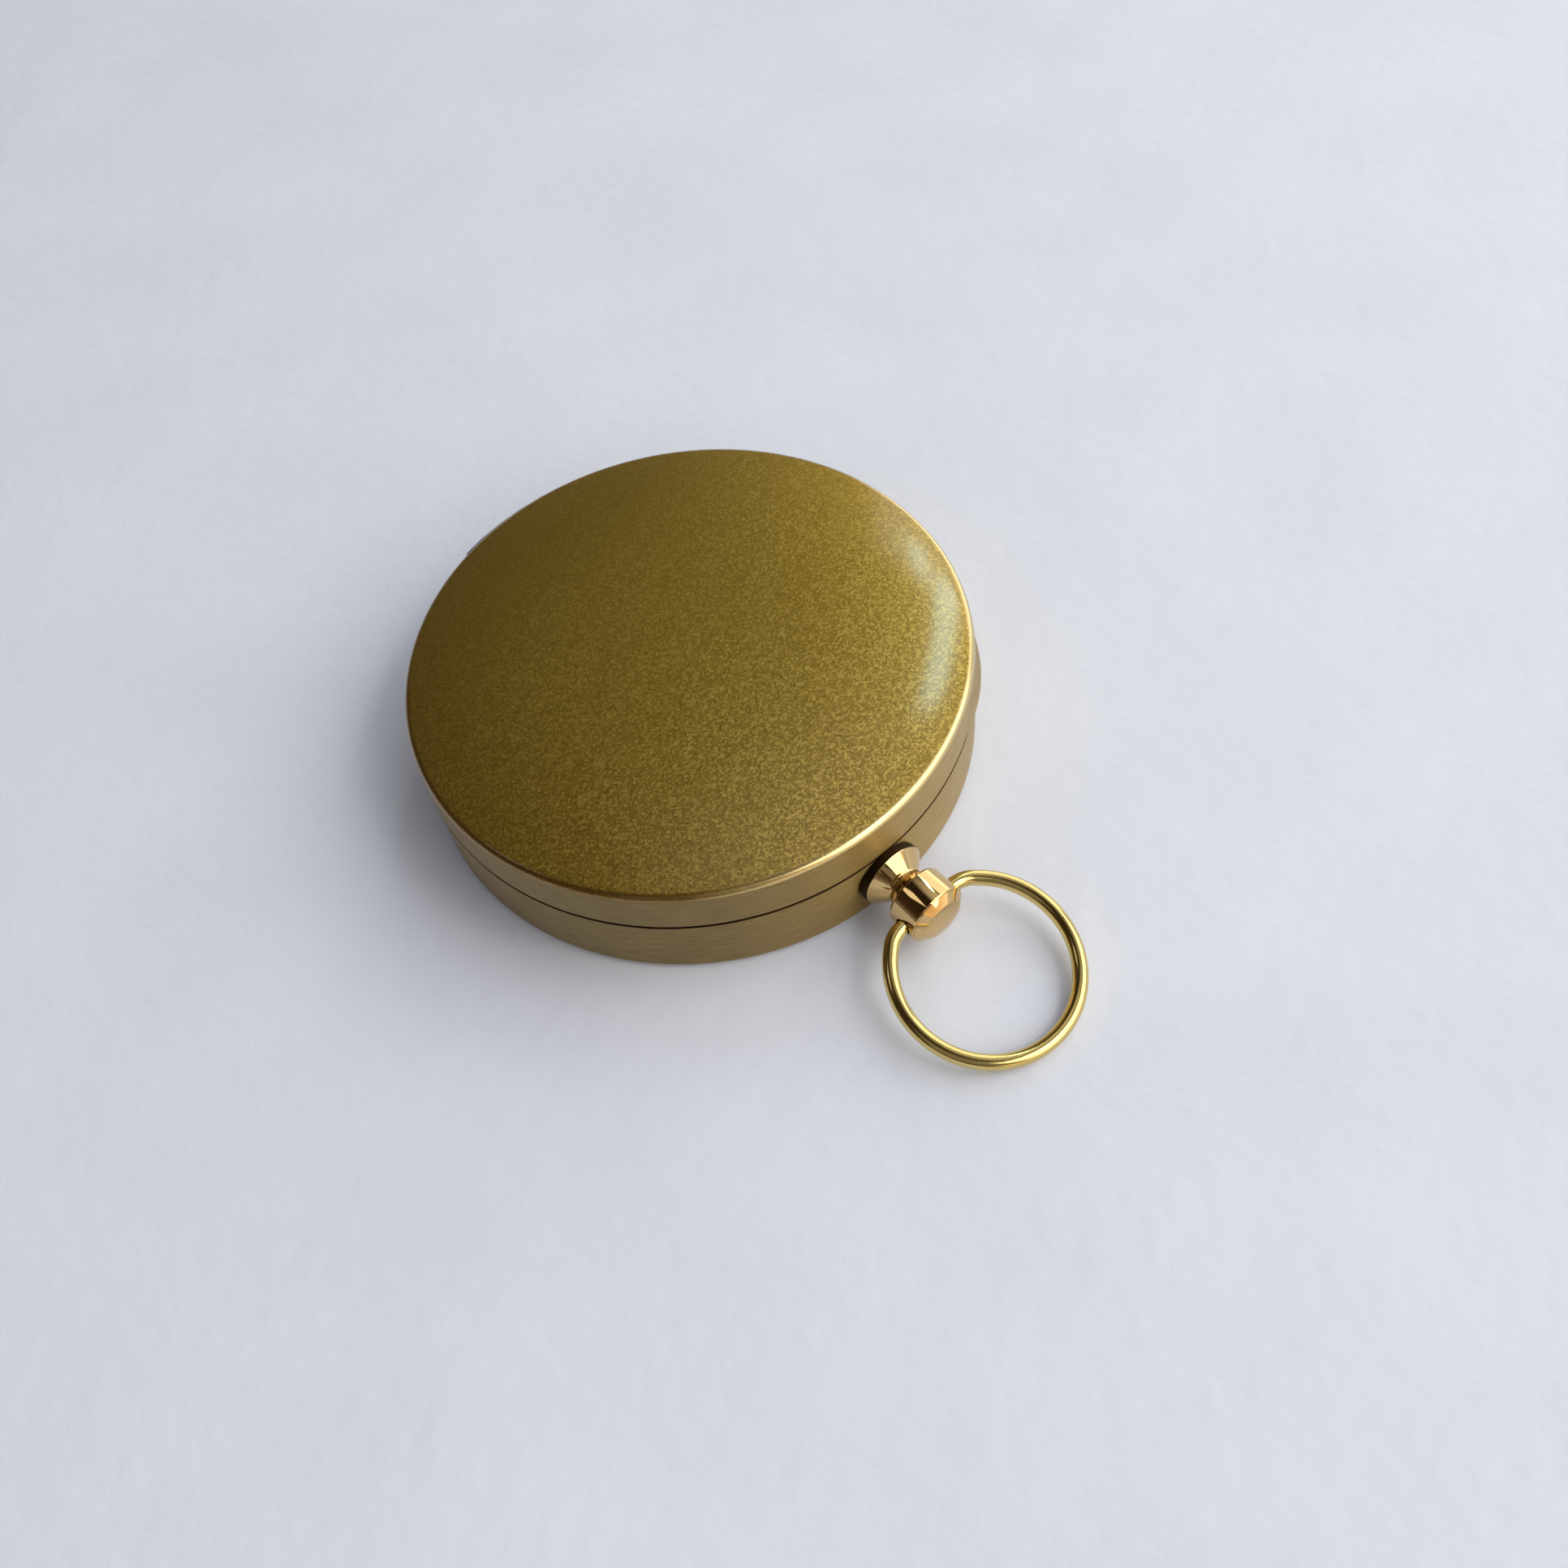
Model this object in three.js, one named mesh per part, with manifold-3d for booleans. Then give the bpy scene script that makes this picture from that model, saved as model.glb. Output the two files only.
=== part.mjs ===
// Flip-up pocket compass: round brass case, snap lid on a hinge, pendant with a wire ring, needle under glass.
// Sizes in mm. The case stands on z = 0, the pendant points to -Y and the hinge is at +Y.
import * as THREE from 'three';
import { mergeVertices } from 'three/addons/utils/BufferGeometryUtils.js';
import Module from 'manifold-3d';

const wasm = await Module();
wasm.setup();

// Clearances
const FIT = 0.05;            // between stacked or pressed pieces
const SLIP = 0.1;            // between pieces that slide or snap together
const RUN = 0.1;             // round pins that turn in holes
const SEAM = 0.2;            // dark line between base and lid

// Case
const CASE_R = 22.5;         // outer radius of the wall
const BASE_H = 6.15;         // height of the base up to the seam
const WALL = 1.5;            // base wall below the bezel's step
const RIM_WALL = 0.9;        // base wall beside the bezel, and lid wall
const FLOOR_T = 1.0;
const FOOT_ROUND = 0.45;     // rounding under the base
const EDGE = 0.12;           // small chamfers along the seam
const STEP_DEPTH = 1.65;     // how deep the bezel sits in the base

// Lid
const LID_H = 10.85;         // top of the crowned lid
const CROWN_DROP = 0.5;      // how far the top falls towards its edge
const CROWN_POWER = 5;       // the fall is mostly near the edge
const LID_ROUND = 0.6;       // rounded edge between top and wall
const LID_T = 0.9;           // thickness of the top
const LIP_OUT = 0.45;        // thumbnail lip, how far it flares out
const LIP_CURVE_R = 13;      // its radius seen from above
const LIP_RISE = 3.0;        // its height on the wall
const LIP_AZ = -45;          // where it is, in degrees from +X
const CROWN_ROWS = [0.92, 0.84, 0.76, 0.62, 0.4]; // rows of points on the top, as shares of the radius

// Glass, dial and their stack
const BEZEL_RISE = 1.4;      // bezel above the seam
const BEZEL_LIP_T = 1.2;     // bezel lip over the glass
const BEZEL_LIP_W = 1.0;     // how far the lip covers the glass
const SNAP_BEAD = 0.2;       // bead that the lid snaps over
const CRYSTAL_T = 1.3;
const CRYSTAL_EDGE = 0.2;    // ground edges of the glass
const GASKET_T = 0.4;
const GASKET_W = 0.85;
const DIAL_T = 0.5;
const DIAL_SLOPE_W = 2.2;    // foot width of the sloped degree ring
const NUT_ROOM = 1.4;        // free ring between the stack and the wall

// Needle and its bearing
const TIP_RISE = 2.2;        // pivot point above the dial
const PIN_R = 0.35;
const POST_R = 1.5;
const NEEDLE_L = 14.4;       // each arm
const NEEDLE_W = 2.1;        // half width at the hub
const NEEDLE_T = 0.3;
const HUB_R = 1.7;
const HUB_NECK_R = 1.1;
const JEWEL_R = 0.68;
const WEIGHT_Y = 6.0;        // place of the balance sleeve on the south arm

// Pendant and ring
const PEND_Z = 3.8;          // height of the pendant's axis
const SHANK_R = 1.2;
const FLANGE_R = 2.7;
const FLANGE_T = 0.75;
const NECK_R = 1.55;         // waist of the neck
const NECK_L = 1.05;         // cone from the flange to the waist
const SHOULDER_L = 0.9;      // hollow curve from the waist to the barrel's bevel
const BARREL_R = 2.5;
const BARREL_L = 2.45;
const PIVOT_IN = 1.35;       // ring's holes from the barrel's edge at the neck
const BEVEL = 0.25;          // barrel's edge at the neck
const TURNED_EDGE = 0.1;     // small chamfers on flange and barrel
const CAP_CONE = 0.52;       // coned edge of the end cap
const CAP_CONE_R = 1.72;     // where its cone meets its low dome
const CAP_DOME = 0.25;
const SPIGOT_R = 1.0;        // peg of the end cap, and the hole for it
const SPIGOT_L = 1.2;
const WIRE_R = 0.6;
const RING_R = 6.95;         // to the middle of the wire
const PIN_OUT = 0.7;         // ring's bend outside the barrel
const PIN_IN = 1.1;          // ring's ends inside the barrel
const REST_GAP = 0.03;       // ring's lowest point above the table
const NUT_R = 2.0;

// Hinge
const HINGE_OUT = 0.95;      // axis outside the wall
const KNUCKLE_R = 0.85;
const HINGE_PIN_R = 0.4;
const HINGE_W = 6.0;         // half width
const MID_W = 1.9;           // half width of the lid's knuckle
const LEAF_T = 0.5;
const LEAF_H = 2.2;

// Facets
const N_CASE = 68;
const N_LIP = 120;
const N_MID = 36;
const N_SMALL = 24;

// Derived sizes
const cupInR = CASE_R - WALL;
const rebateR = CASE_R - RIM_WALL;
const stepZ = BASE_H - STEP_DEPTH;
const lidZ = BASE_H + SEAM;
const lidInR = rebateR;
const bezelR = rebateR - SLIP;
const bezelTop = BASE_H + BEZEL_RISE;
const bezelLipZ = bezelTop - BEZEL_LIP_T;
const stackR = cupInR - NUT_ROOM;
const crystalTop = bezelLipZ - FIT;
const crystalZ = crystalTop - CRYSTAL_T;
const gasketTop = crystalZ - FIT;
const gasketZ = gasketTop - GASKET_T;
const dialZ = FLOOR_T + FIT;
const dialTop = dialZ + DIAL_T;
const dialRingZ = dialTop + FIT;
const dialRingTop = gasketZ - FIT;
const tipZ = dialTop + TIP_RISE;
const flangeA = CASE_R + SLIP;
const neckA = flangeA + FLANGE_T + NECK_L;
const barrelA = neckA + SHOULDER_L + BEVEL;
const barrelEnd = barrelA + BARREL_L;
const pivotA = barrelA + PIVOT_IN;
const hingeY = CASE_R + HINGE_OUT;
const hingeZ = BASE_H + SEAM / 2;

// Solids
function fromGeometry(geometry) {
  const bare = new THREE.BufferGeometry();
  bare.setAttribute('position', geometry.getAttribute('position').clone());
  if (geometry.index) bare.setIndex(geometry.index.clone());
  const merged = mergeVertices(bare, 1e-5);
  const points = merged.getAttribute('position').array;
  const corners = merged.index.array;
  const kept = [];
  let volume = 0;
  const [a, b, c] = [new THREE.Vector3(), new THREE.Vector3(), new THREE.Vector3()];
  for (let i = 0; i < corners.length; i += 3) {
    const [p, q, r] = [corners[i], corners[i + 1], corners[i + 2]];
    if (p === q || q === r || p === r) continue;
    kept.push(p, q, r);
    a.fromArray(points, 3 * p);
    b.fromArray(points, 3 * q);
    c.fromArray(points, 3 * r);
    volume += a.dot(b.cross(c));
  }
  if (volume < 0) kept.reverse();
  const mesh = new wasm.Mesh({
    numProp: 3,
    vertProperties: new Float32Array(points),
    triVerts: new Uint32Array(kept),
  });
  return new wasm.Manifold(mesh);
}

function toGeometry(solid) {
  const mesh = solid.getMesh();
  const geometry = new THREE.BufferGeometry();
  geometry.setAttribute('position', new THREE.BufferAttribute(new Float32Array(mesh.vertProperties), 3));
  geometry.setIndex(new THREE.BufferAttribute(new Uint32Array(mesh.triVerts), 1));
  geometry.computeVertexNormals();
  return geometry;
}

// A turned solid on the Z axis, from [radius, height] pairs
function turned(profile, facets, close = false) {
  const points = profile.map(([r, h]) => new THREE.Vector2(r, h));
  if (close) points.push(points[0].clone());
  const lathe = new THREE.LatheGeometry(points, facets);
  lathe.rotateX(Math.PI / 2);
  return lathe;
}

const turnedSolid = (profile, facets, close) => fromGeometry(turned(profile, facets, close));

// A turned solid on the pendant's axis, from [radius, distance from the case's middle] pairs
function onPendant(profile, facets, close) {
  const lathe = turned(profile, facets, close);
  lathe.rotateX(Math.PI / 2);
  lathe.translate(0, 0, PEND_Z);
  return fromGeometry(lathe);
}

function box(x0, x1, y0, y1, z0, z1) {
  const geometry = new THREE.BoxGeometry(x1 - x0, y1 - y0, z1 - z0);
  geometry.translate((x0 + x1) / 2, (y0 + y1) / 2, (z0 + z1) / 2);
  return fromGeometry(geometry);
}

function rodAlongX(radius, x0, x1, y, z, facets) {
  const geometry = new THREE.CylinderGeometry(radius, radius, x1 - x0, facets);
  geometry.rotateZ(Math.PI / 2);
  geometry.translate((x0 + x1) / 2, y, z);
  return fromGeometry(geometry);
}

function disc(radius, z0, z1, facets) {
  return turnedSolid([[0, z0], [radius, z0], [radius, z1], [0, z1]], facets);
}

function tubeRing(rIn, rOut, z0, z1, facets) {
  return turnedSolid([[rIn, z0], [rOut, z0], [rOut, z1], [rIn, z1]], facets, true);
}

// Points of a quarter round from angle a0 to a1 (degrees)
function quarter(cr, ch, radius, a0, a1, steps) {
  const out = [];
  for (let i = 0; i <= steps; i++) {
    const t = THREE.MathUtils.degToRad(a0 + ((a1 - a0) * i) / steps);
    out.push([cr + radius * Math.cos(t), ch + radius * Math.sin(t)]);
  }
  return out;
}

// Base: floor and wall, with a step for the bezel and a hole for the pendant's shank
function baseCup() {
  const cup = turnedSolid([
    [0, 0],
    ...quarter(CASE_R - FOOT_ROUND, FOOT_ROUND, FOOT_ROUND, -90, 0, 4),
    [CASE_R, BASE_H - EDGE],
    [CASE_R - EDGE, BASE_H],
    [rebateR, BASE_H],
    [rebateR, stepZ],
    [cupInR, stepZ],
    [cupInR, FLOOR_T],
    [0, FLOOR_T],
  ], N_CASE);
  const hole = onPendant([
    [0, cupInR - 1],
    [SHANK_R + RUN, cupInR - 1],
    [SHANK_R + RUN, CASE_R + 1],
    [0, CASE_R + 1],
  ], N_SMALL);
  return cup.subtract(hole);
}

// Height of the lid's top at radius r
const crownEdge = CASE_R - LID_ROUND;
const crownZ = (r) => LID_H - CROWN_DROP * (r / crownEdge) ** CROWN_POWER;

// Lid: crowned top, rounded edge, flared lip, hollow inside
function lidShell() {
  const edgeZ = crownZ(crownEdge) - LID_ROUND;
  const rows = CROWN_ROWS.map((share) => share * CASE_R);
  const outside = turnedSolid([
    [0, lidZ],
    [CASE_R - EDGE, lidZ],
    [CASE_R, lidZ + EDGE],
    ...quarter(crownEdge, edgeZ, LID_ROUND, 0, 84, 6),
    ...rows.map((r) => [r, crownZ(r)]),
    [0, LID_H],
  ], N_CASE);
  const middle = CASE_R + LIP_OUT - LIP_CURVE_R;
  const lip = turned([
    [0, lidZ],
    [LIP_CURVE_R - EDGE, lidZ],
    [LIP_CURVE_R, lidZ + EDGE],
    [LIP_CURVE_R, lidZ + 0.3 * LIP_RISE],
    [LIP_CURVE_R - 0.4 * LIP_OUT, lidZ + 0.7 * LIP_RISE],
    [LIP_CURVE_R - LIP_OUT - FIT, lidZ + LIP_RISE],
    [0, lidZ + LIP_RISE],
  ], N_LIP);
  const az = THREE.MathUtils.degToRad(LIP_AZ);
  lip.translate(middle * Math.cos(az), middle * Math.sin(az), 0);
  const ceiling = LID_H - CROWN_DROP - LID_T;
  const hollow = turnedSolid([
    [0, lidZ - 1],
    [lidInR, lidZ - 1],
    ...quarter(lidInR - LID_ROUND, ceiling - LID_ROUND, LID_ROUND, 0, 90, 3),
    [0, ceiling],
  ], N_CASE);
  return outside.add(fromGeometry(lip)).subtract(hollow);
}

// Bezel: sits on the base's step, covers the edge of the glass and carries the snap bead
function bezelRing() {
  const neckR = bezelR - SNAP_BEAD - FIT;
  const beadZ = BASE_H + 0.6 * BEZEL_RISE;
  const lipR = stackR - BEZEL_LIP_W;
  const ring = turnedSolid([
    [stackR + SLIP, stepZ + FIT],
    [bezelR, stepZ + FIT],
    [bezelR, BASE_H - FIT],
    [neckR, BASE_H + SEAM],
    [neckR, beadZ - SNAP_BEAD],
    [neckR + SNAP_BEAD, beadZ],
    [neckR, beadZ + SNAP_BEAD],
    [neckR - SNAP_BEAD, bezelTop],
    [lipR + 0.5, bezelTop],
    [lipR, bezelLipZ + 0.5],
    [lipR, bezelLipZ],
    [stackR + SLIP, bezelLipZ],
  ], N_CASE, true);
  const notchTop = PEND_Z + NUT_R + SLIP;
  const half = NUT_R + 2 * SLIP;
  return ring.subtract(box(-half, half, -CASE_R, -stackR, stepZ - 1, notchTop));
}

const crystal = () => turnedSolid([
  [0, crystalZ],
  [stackR - CRYSTAL_EDGE, crystalZ],
  [stackR, crystalZ + CRYSTAL_EDGE],
  [stackR, crystalTop - CRYSTAL_EDGE],
  [stackR - CRYSTAL_EDGE, crystalTop],
  [0, crystalTop],
], N_CASE);

const crystalGasket = () => tubeRing(stackR - GASKET_W, stackR, gasketZ, gasketTop, N_CASE);

// Sloped ring between dial and glass, for the degree scale
const dialRing = () => turnedSolid([
  [stackR - DIAL_SLOPE_W, dialRingZ],
  [stackR, dialRingZ],
  [stackR, dialRingTop],
  [stackR - GASKET_W, dialRingTop],
  [stackR - DIAL_SLOPE_W, dialRingZ + 0.2],
], N_CASE, true);

const postNeckR = PIN_R + 0.45;
const dialPlate = () => tubeRing(postNeckR + SLIP, stackR, dialZ, dialTop, N_CASE);

// Brass stud in the dial, and the steel point that stands in it
const pivotPost = () => turnedSolid([
  [0, FLOOR_T + FIT],
  [postNeckR, FLOOR_T + FIT],
  [postNeckR, dialTop + FIT],
  [POST_R, dialTop + FIT],
  [POST_R, dialTop + 0.3],
  [postNeckR, dialTop + 0.6],
  [postNeckR, dialTop + 0.9],
  [PIN_R + FIT, dialTop + 0.9],
  [PIN_R + FIT, FLOOR_T + 0.3],
  [0, FLOOR_T + 0.3],
], N_SMALL);

const pivotPin = () => turnedSolid([
  [0, FLOOR_T + 0.3 + FIT],
  [PIN_R, FLOOR_T + 0.3 + FIT],
  [PIN_R, tipZ - 0.7],
  [0.04, tipZ],
  [0, tipZ],
], N_SMALL);

const jewelZ = tipZ - 0.35;
const jewelTop = tipZ + 0.4;
const bladeZ = tipZ - 0.75;
const bladeTop = bladeZ + NEEDLE_T;

// Hub of the needle, a domed cap bored out for the jewel
const needleCap = () => turnedSolid([
  [JEWEL_R + FIT, bladeZ - SLIP],
  [HUB_NECK_R, bladeZ - SLIP],
  [HUB_NECK_R, bladeTop + FIT],
  [HUB_R, bladeTop + FIT],
  [HUB_R, bladeTop + 0.35],
  [HUB_R * 0.82, bladeTop + 0.75],
  [HUB_R * 0.5, jewelTop + 0.22],
  [0, jewelTop + 0.32],
  [0, jewelTop + FIT],
  [JEWEL_R + FIT, jewelTop + FIT],
], N_SMALL, true);

// Cup bearing: its hollow cone stands over the steel point
const needleJewel = () => turnedSolid([
  [0, tipZ + 0.15],
  [0.5, jewelZ],
  [JEWEL_R, jewelZ],
  [JEWEL_R, jewelTop],
  [0, jewelTop],
], N_SMALL);

function flatPlate(outline, hole, z, thickness) {
  const shape = new THREE.Shape(outline.map(([x, y]) => new THREE.Vector2(x, y)));
  if (hole) {
    const path = new THREE.Path();
    path.absarc(0, 0, hole, 0, 2 * Math.PI, true);
    shape.holes.push(path);
  }
  const geometry = new THREE.ExtrudeGeometry(shape, {
    depth: thickness,
    bevelEnabled: false,
    curveSegments: N_SMALL,
  });
  geometry.translate(0, 0, z);
  return fromGeometry(geometry);
}

// Half width of the blade at distance y from the hub
const bladeHalf = (y) => NEEDLE_W * (1 - y / NEEDLE_L);

const needleBlade = () => flatPlate([
  [0, -NEEDLE_L],
  [NEEDLE_W, 0],
  [0, NEEDLE_L],
  [-NEEDLE_W, 0],
], HUB_NECK_R + FIT, bladeZ, NEEDLE_T);

function needleTip() {
  const [near, far] = [0.3 * NEEDLE_L, 0.8 * NEEDLE_L];
  const share = 0.6;
  return flatPlate([
    [share * bladeHalf(near), -near],
    [share * bladeHalf(far), -far],
    [-share * bladeHalf(far), -far],
    [-share * bladeHalf(near), -near],
  ], 0, bladeTop + FIT / 2, 0.12);
}

function needleWeight() {
  const half = bladeHalf(WEIGHT_Y) + SLIP;
  const [y0, y1] = [WEIGHT_Y, WEIGHT_Y + 1.2];
  const sleeve = box(-half - 0.25, half + 0.25, y0, y1, bladeZ - 0.3, bladeTop + 0.3);
  return sleeve.subtract(box(-half, half, y0 - 1, y1 + 1, bladeZ - FIT, bladeTop + FIT));
}

// Pendant: shank, flange, cone, hollow-curved shoulder and barrel with two side holes for the ring
function pendantStud() {
  const shoulder = [];
  for (let i = 0; i <= 5; i++) {
    const t = (i * Math.PI) / 10;
    const r = NECK_R + (BARREL_R - BEVEL - NECK_R) * (1 - Math.cos(t));
    shoulder.push([r, neckA + SHOULDER_L * Math.sin(t)]);
  }
  const stud = onPendant([
    [0, shankEnd],
    [SHANK_R, shankEnd],
    [SHANK_R, flangeA],
    [FLANGE_R - TURNED_EDGE, flangeA],
    [FLANGE_R, flangeA + TURNED_EDGE],
    [FLANGE_R, flangeA + FLANGE_T - TURNED_EDGE],
    [FLANGE_R - TURNED_EDGE, flangeA + FLANGE_T],
    ...shoulder,
    [BARREL_R, barrelA],
    [BARREL_R, barrelEnd - TURNED_EDGE],
    [BARREL_R - TURNED_EDGE, barrelEnd],
    [SPIGOT_R, barrelEnd],
    [SPIGOT_R, barrelEnd - SPIGOT_L],
    [0, barrelEnd - SPIGOT_L],
  ], N_MID);
  const holeIn = BARREL_R - PIN_IN - SLIP;
  const right = rodAlongX(WIRE_R + RUN, holeIn, BARREL_R + 1, -pivotA, PEND_Z, N_SMALL);
  const left = rodAlongX(WIRE_R + RUN, -BARREL_R - 1, -holeIn, -pivotA, PEND_Z, N_SMALL);
  return stud.subtract(right).subtract(left);
}

// End cap with a coned edge and a low dome, pressed into the barrel
function pendantCap() {
  const start = barrelEnd + FIT;
  const domeA = start + CAP_CONE;
  const sphereR = (CAP_CONE_R ** 2 + CAP_DOME ** 2) / (2 * CAP_DOME);
  const dome = [];
  const span = Math.asin(CAP_CONE_R / sphereR);
  for (let i = 0; i <= 4; i++) {
    const t = span * (1 - i / 4);
    dome.push([sphereR * Math.sin(t), domeA + CAP_DOME - sphereR * (1 - Math.cos(t))]);
  }
  dome[4][0] = 0;
  return onPendant([
    [0, barrelEnd - SPIGOT_L + FIT],
    [SPIGOT_R - FIT, barrelEnd - SPIGOT_L + FIT],
    [SPIGOT_R - FIT, start],
    [BARREL_R - TURNED_EDGE, start],
    ...dome,
  ], N_MID);
}

const washerOut = Math.sqrt(cupInR ** 2 - NUT_R ** 2) - SLIP;
const washerIn = washerOut - 0.25;
const shankEnd = stackR + SLIP;

const pendantWasher = () => onPendant([
  [SHANK_R + SLIP, washerIn],
  [NUT_R, washerIn],
  [NUT_R, washerOut],
  [SHANK_R + SLIP, washerOut],
], N_SMALL, true);

// Six-sided nut with a round hole
function pendantNut() {
  const [a0, a1] = [shankEnd + FIT, washerIn - FIT];
  const hex = onPendant([[0, a0], [NUT_R, a0], [NUT_R, a1], [0, a1]], 6);
  const boreR = SHANK_R + SLIP;
  return hex.subtract(onPendant([[0, a0 - 1], [boreR, a0 - 1], [boreR, a1 + 1], [0, a1 + 1]], N_SMALL));
}

// Ring: one bent wire whose two ends turn inwards into the barrel's side holes
function bowRing() {
  const chord = BARREL_R + PIN_OUT;
  const middle = Math.sqrt(RING_R ** 2 - chord ** 2);
  const tilt = Math.asin((PEND_Z - WIRE_R - REST_GAP) / (middle + RING_R));
  const place = (u, v) => new THREE.Vector3(u, -pivotA - v * Math.cos(tilt), PEND_Z - v * Math.sin(tilt));
  const start = Math.atan2(-middle, -chord);
  const sweep = 2 * Math.PI - 2 * Math.asin(chord / RING_R);
  const pinEnd = BARREL_R - PIN_IN;
  const path = [place(-pinEnd, 0), place(-0.5 * (pinEnd + BARREL_R), 0), place(-BARREL_R - 0.1, 0)];
  const count = 32;
  for (let i = 0; i <= count; i++) {
    const t = start - sweep * (0.015 + (0.97 * i) / count);
    path.push(place(RING_R * Math.cos(t), middle + RING_R * Math.sin(t)));
  }
  path.push(place(BARREL_R + 0.1, 0), place(0.5 * (pinEnd + BARREL_R), 0), place(pinEnd, 0));
  const curve = new THREE.CatmullRomCurve3(path);
  curve.arcLengthDivisions = 800;
  const section = new THREE.Shape();
  section.absarc(0, 0, WIRE_R, 0, 2 * Math.PI, false);
  return fromGeometry(new THREE.ExtrudeGeometry(section, {
    steps: 64,
    curveSegments: 5,
    bevelEnabled: false,
    extrudePath: curve,
  }));
}

// Hinge: leaves that follow the wall, with knuckles on one straight axis
const leafIn = CASE_R + FIT;

function wallLeaf(z0, z1) {
  const reach = HINGE_W + 0.2;
  const block = box(-reach, reach, 0.8 * CASE_R, CASE_R + 2, z0, z1);
  return block.intersect(tubeRing(leafIn, leafIn + LEAF_T, z0, z1, N_CASE));
}

function knuckle(x0, x1, z0, z1) {
  const web = box(x0, x1, 0.8 * CASE_R, hingeY, z0, z1);
  const barrel = rodAlongX(KNUCKLE_R, x0, x1, hingeY, hingeZ, N_SMALL);
  const bore = rodAlongX(HINGE_PIN_R + RUN / 2, x0 - 1, x1 + 1, hingeY, hingeZ, N_SMALL);
  return web.subtract(disc(leafIn, z0 - 1, z1 + 1, N_CASE)).add(barrel).subtract(bore);
}

function hingeLeafBase() {
  const top = hingeZ - KNUCKLE_R - 2 * SLIP;
  const leaf = wallLeaf(top - LEAF_H, top);
  const right = knuckle(MID_W + SLIP, HINGE_W, top - 0.3, hingeZ);
  const left = knuckle(-HINGE_W, -MID_W - SLIP, top - 0.3, hingeZ);
  return leaf.add(right).add(left);
}

function hingeLeafLid() {
  const bottom = hingeZ + KNUCKLE_R + 2 * SLIP;
  const leaf = wallLeaf(bottom, bottom + LEAF_H);
  return leaf.add(knuckle(-MID_W + SLIP, MID_W - SLIP, hingeZ, bottom + 0.3));
}

const hingePin = () => rodAlongX(HINGE_PIN_R, -HINGE_W - 0.25, HINGE_W + 0.25, hingeY, hingeZ, N_SMALL);

// Pieces with their finishes: colour, roughness, metalness
const SATIN = ['#8f7a34', 0.42, 1];
const BRASS = ['#b99a55', 0.3, 1];
const POLISHED = ['#d8b16a', 0.12, 1];
const STEEL = ['#b8bcc2', 0.28, 1];
const pieces = [
  ['base_cup', baseCup(), BRASS],
  ['lid_shell', lidShell(), SATIN],
  ['bezel_ring', bezelRing(), POLISHED],
  ['crystal', crystal(), ['#e4eef0', 0.04, 0]],
  ['crystal_gasket', crystalGasket(), ['#1c1c1e', 0.8, 0]],
  ['dial_ring', dialRing(), ['#1a1b1e', 0.6, 0]],
  ['dial_plate', dialPlate(), ['#f4f2ea', 0.65, 0]],
  ['pivot_post', pivotPost(), POLISHED],
  ['pivot_pin', pivotPin(), STEEL],
  ['needle_blade', needleBlade(), ['#2a4f8c', 0.35, 1]],
  ['needle_tip', needleTip(), ['#c9362b', 0.5, 0]],
  ['needle_weight', needleWeight(), BRASS],
  ['needle_cap', needleCap(), POLISHED],
  ['needle_jewel', needleJewel(), ['#9c1f3a', 0.15, 0]],
  ['pendant_stud', pendantStud(), POLISHED],
  ['pendant_cap', pendantCap(), POLISHED],
  ['pendant_washer', pendantWasher(), STEEL],
  ['pendant_nut', pendantNut(), BRASS],
  ['bow_ring', bowRing(), POLISHED],
  ['hinge_leaf_base', hingeLeafBase(), BRASS],
  ['hinge_leaf_lid', hingeLeafLid(), BRASS],
  ['hinge_pin', hingePin(), STEEL],
];

const compass = new THREE.Group();
compass.name = 'flip_up_compass';
for (const [name, solid, [color, roughness, metalness]] of pieces) {
  const material = new THREE.MeshStandardMaterial({ color, roughness, metalness });
  const mesh = new THREE.Mesh(toGeometry(solid), material);
  mesh.name = name;
  compass.add(mesh);
}

export default compass;
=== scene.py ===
# %% [markdown]
# # A flip-up pocket compass
# The real object is a round brass case with a hinged snap lid, a turned pendant and a wire ring.
# The CAD model gives every piece its place and its joint. This lesson builds a finer visible mesh
# for each piece in the same place, gives it a procedural finish, and lights it like the photograph.

# %% Load the frame
import math

import bmesh
import bpy
from mathutils import Matrix, Vector


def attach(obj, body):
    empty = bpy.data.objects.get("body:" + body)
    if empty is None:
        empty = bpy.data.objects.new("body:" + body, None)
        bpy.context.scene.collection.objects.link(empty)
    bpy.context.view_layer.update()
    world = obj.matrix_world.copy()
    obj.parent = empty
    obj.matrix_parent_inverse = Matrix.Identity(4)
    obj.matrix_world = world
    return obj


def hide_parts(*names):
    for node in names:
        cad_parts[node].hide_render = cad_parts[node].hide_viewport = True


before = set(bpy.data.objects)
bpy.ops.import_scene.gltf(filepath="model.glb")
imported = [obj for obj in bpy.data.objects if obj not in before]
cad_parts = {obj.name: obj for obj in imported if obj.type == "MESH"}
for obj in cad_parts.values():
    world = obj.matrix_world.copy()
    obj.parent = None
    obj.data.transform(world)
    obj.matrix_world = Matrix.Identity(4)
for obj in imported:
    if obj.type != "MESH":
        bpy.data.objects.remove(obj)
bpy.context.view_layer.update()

MM = 0.001
scene = bpy.context.scene

# %% [markdown]
# ## The sizes
# The pieces repeat the few sizes that the CAD source is driven by, in millimetres. Most other sizes
# are worked out from them, so a visible piece can't drift away from the solid that it stands for.

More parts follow.
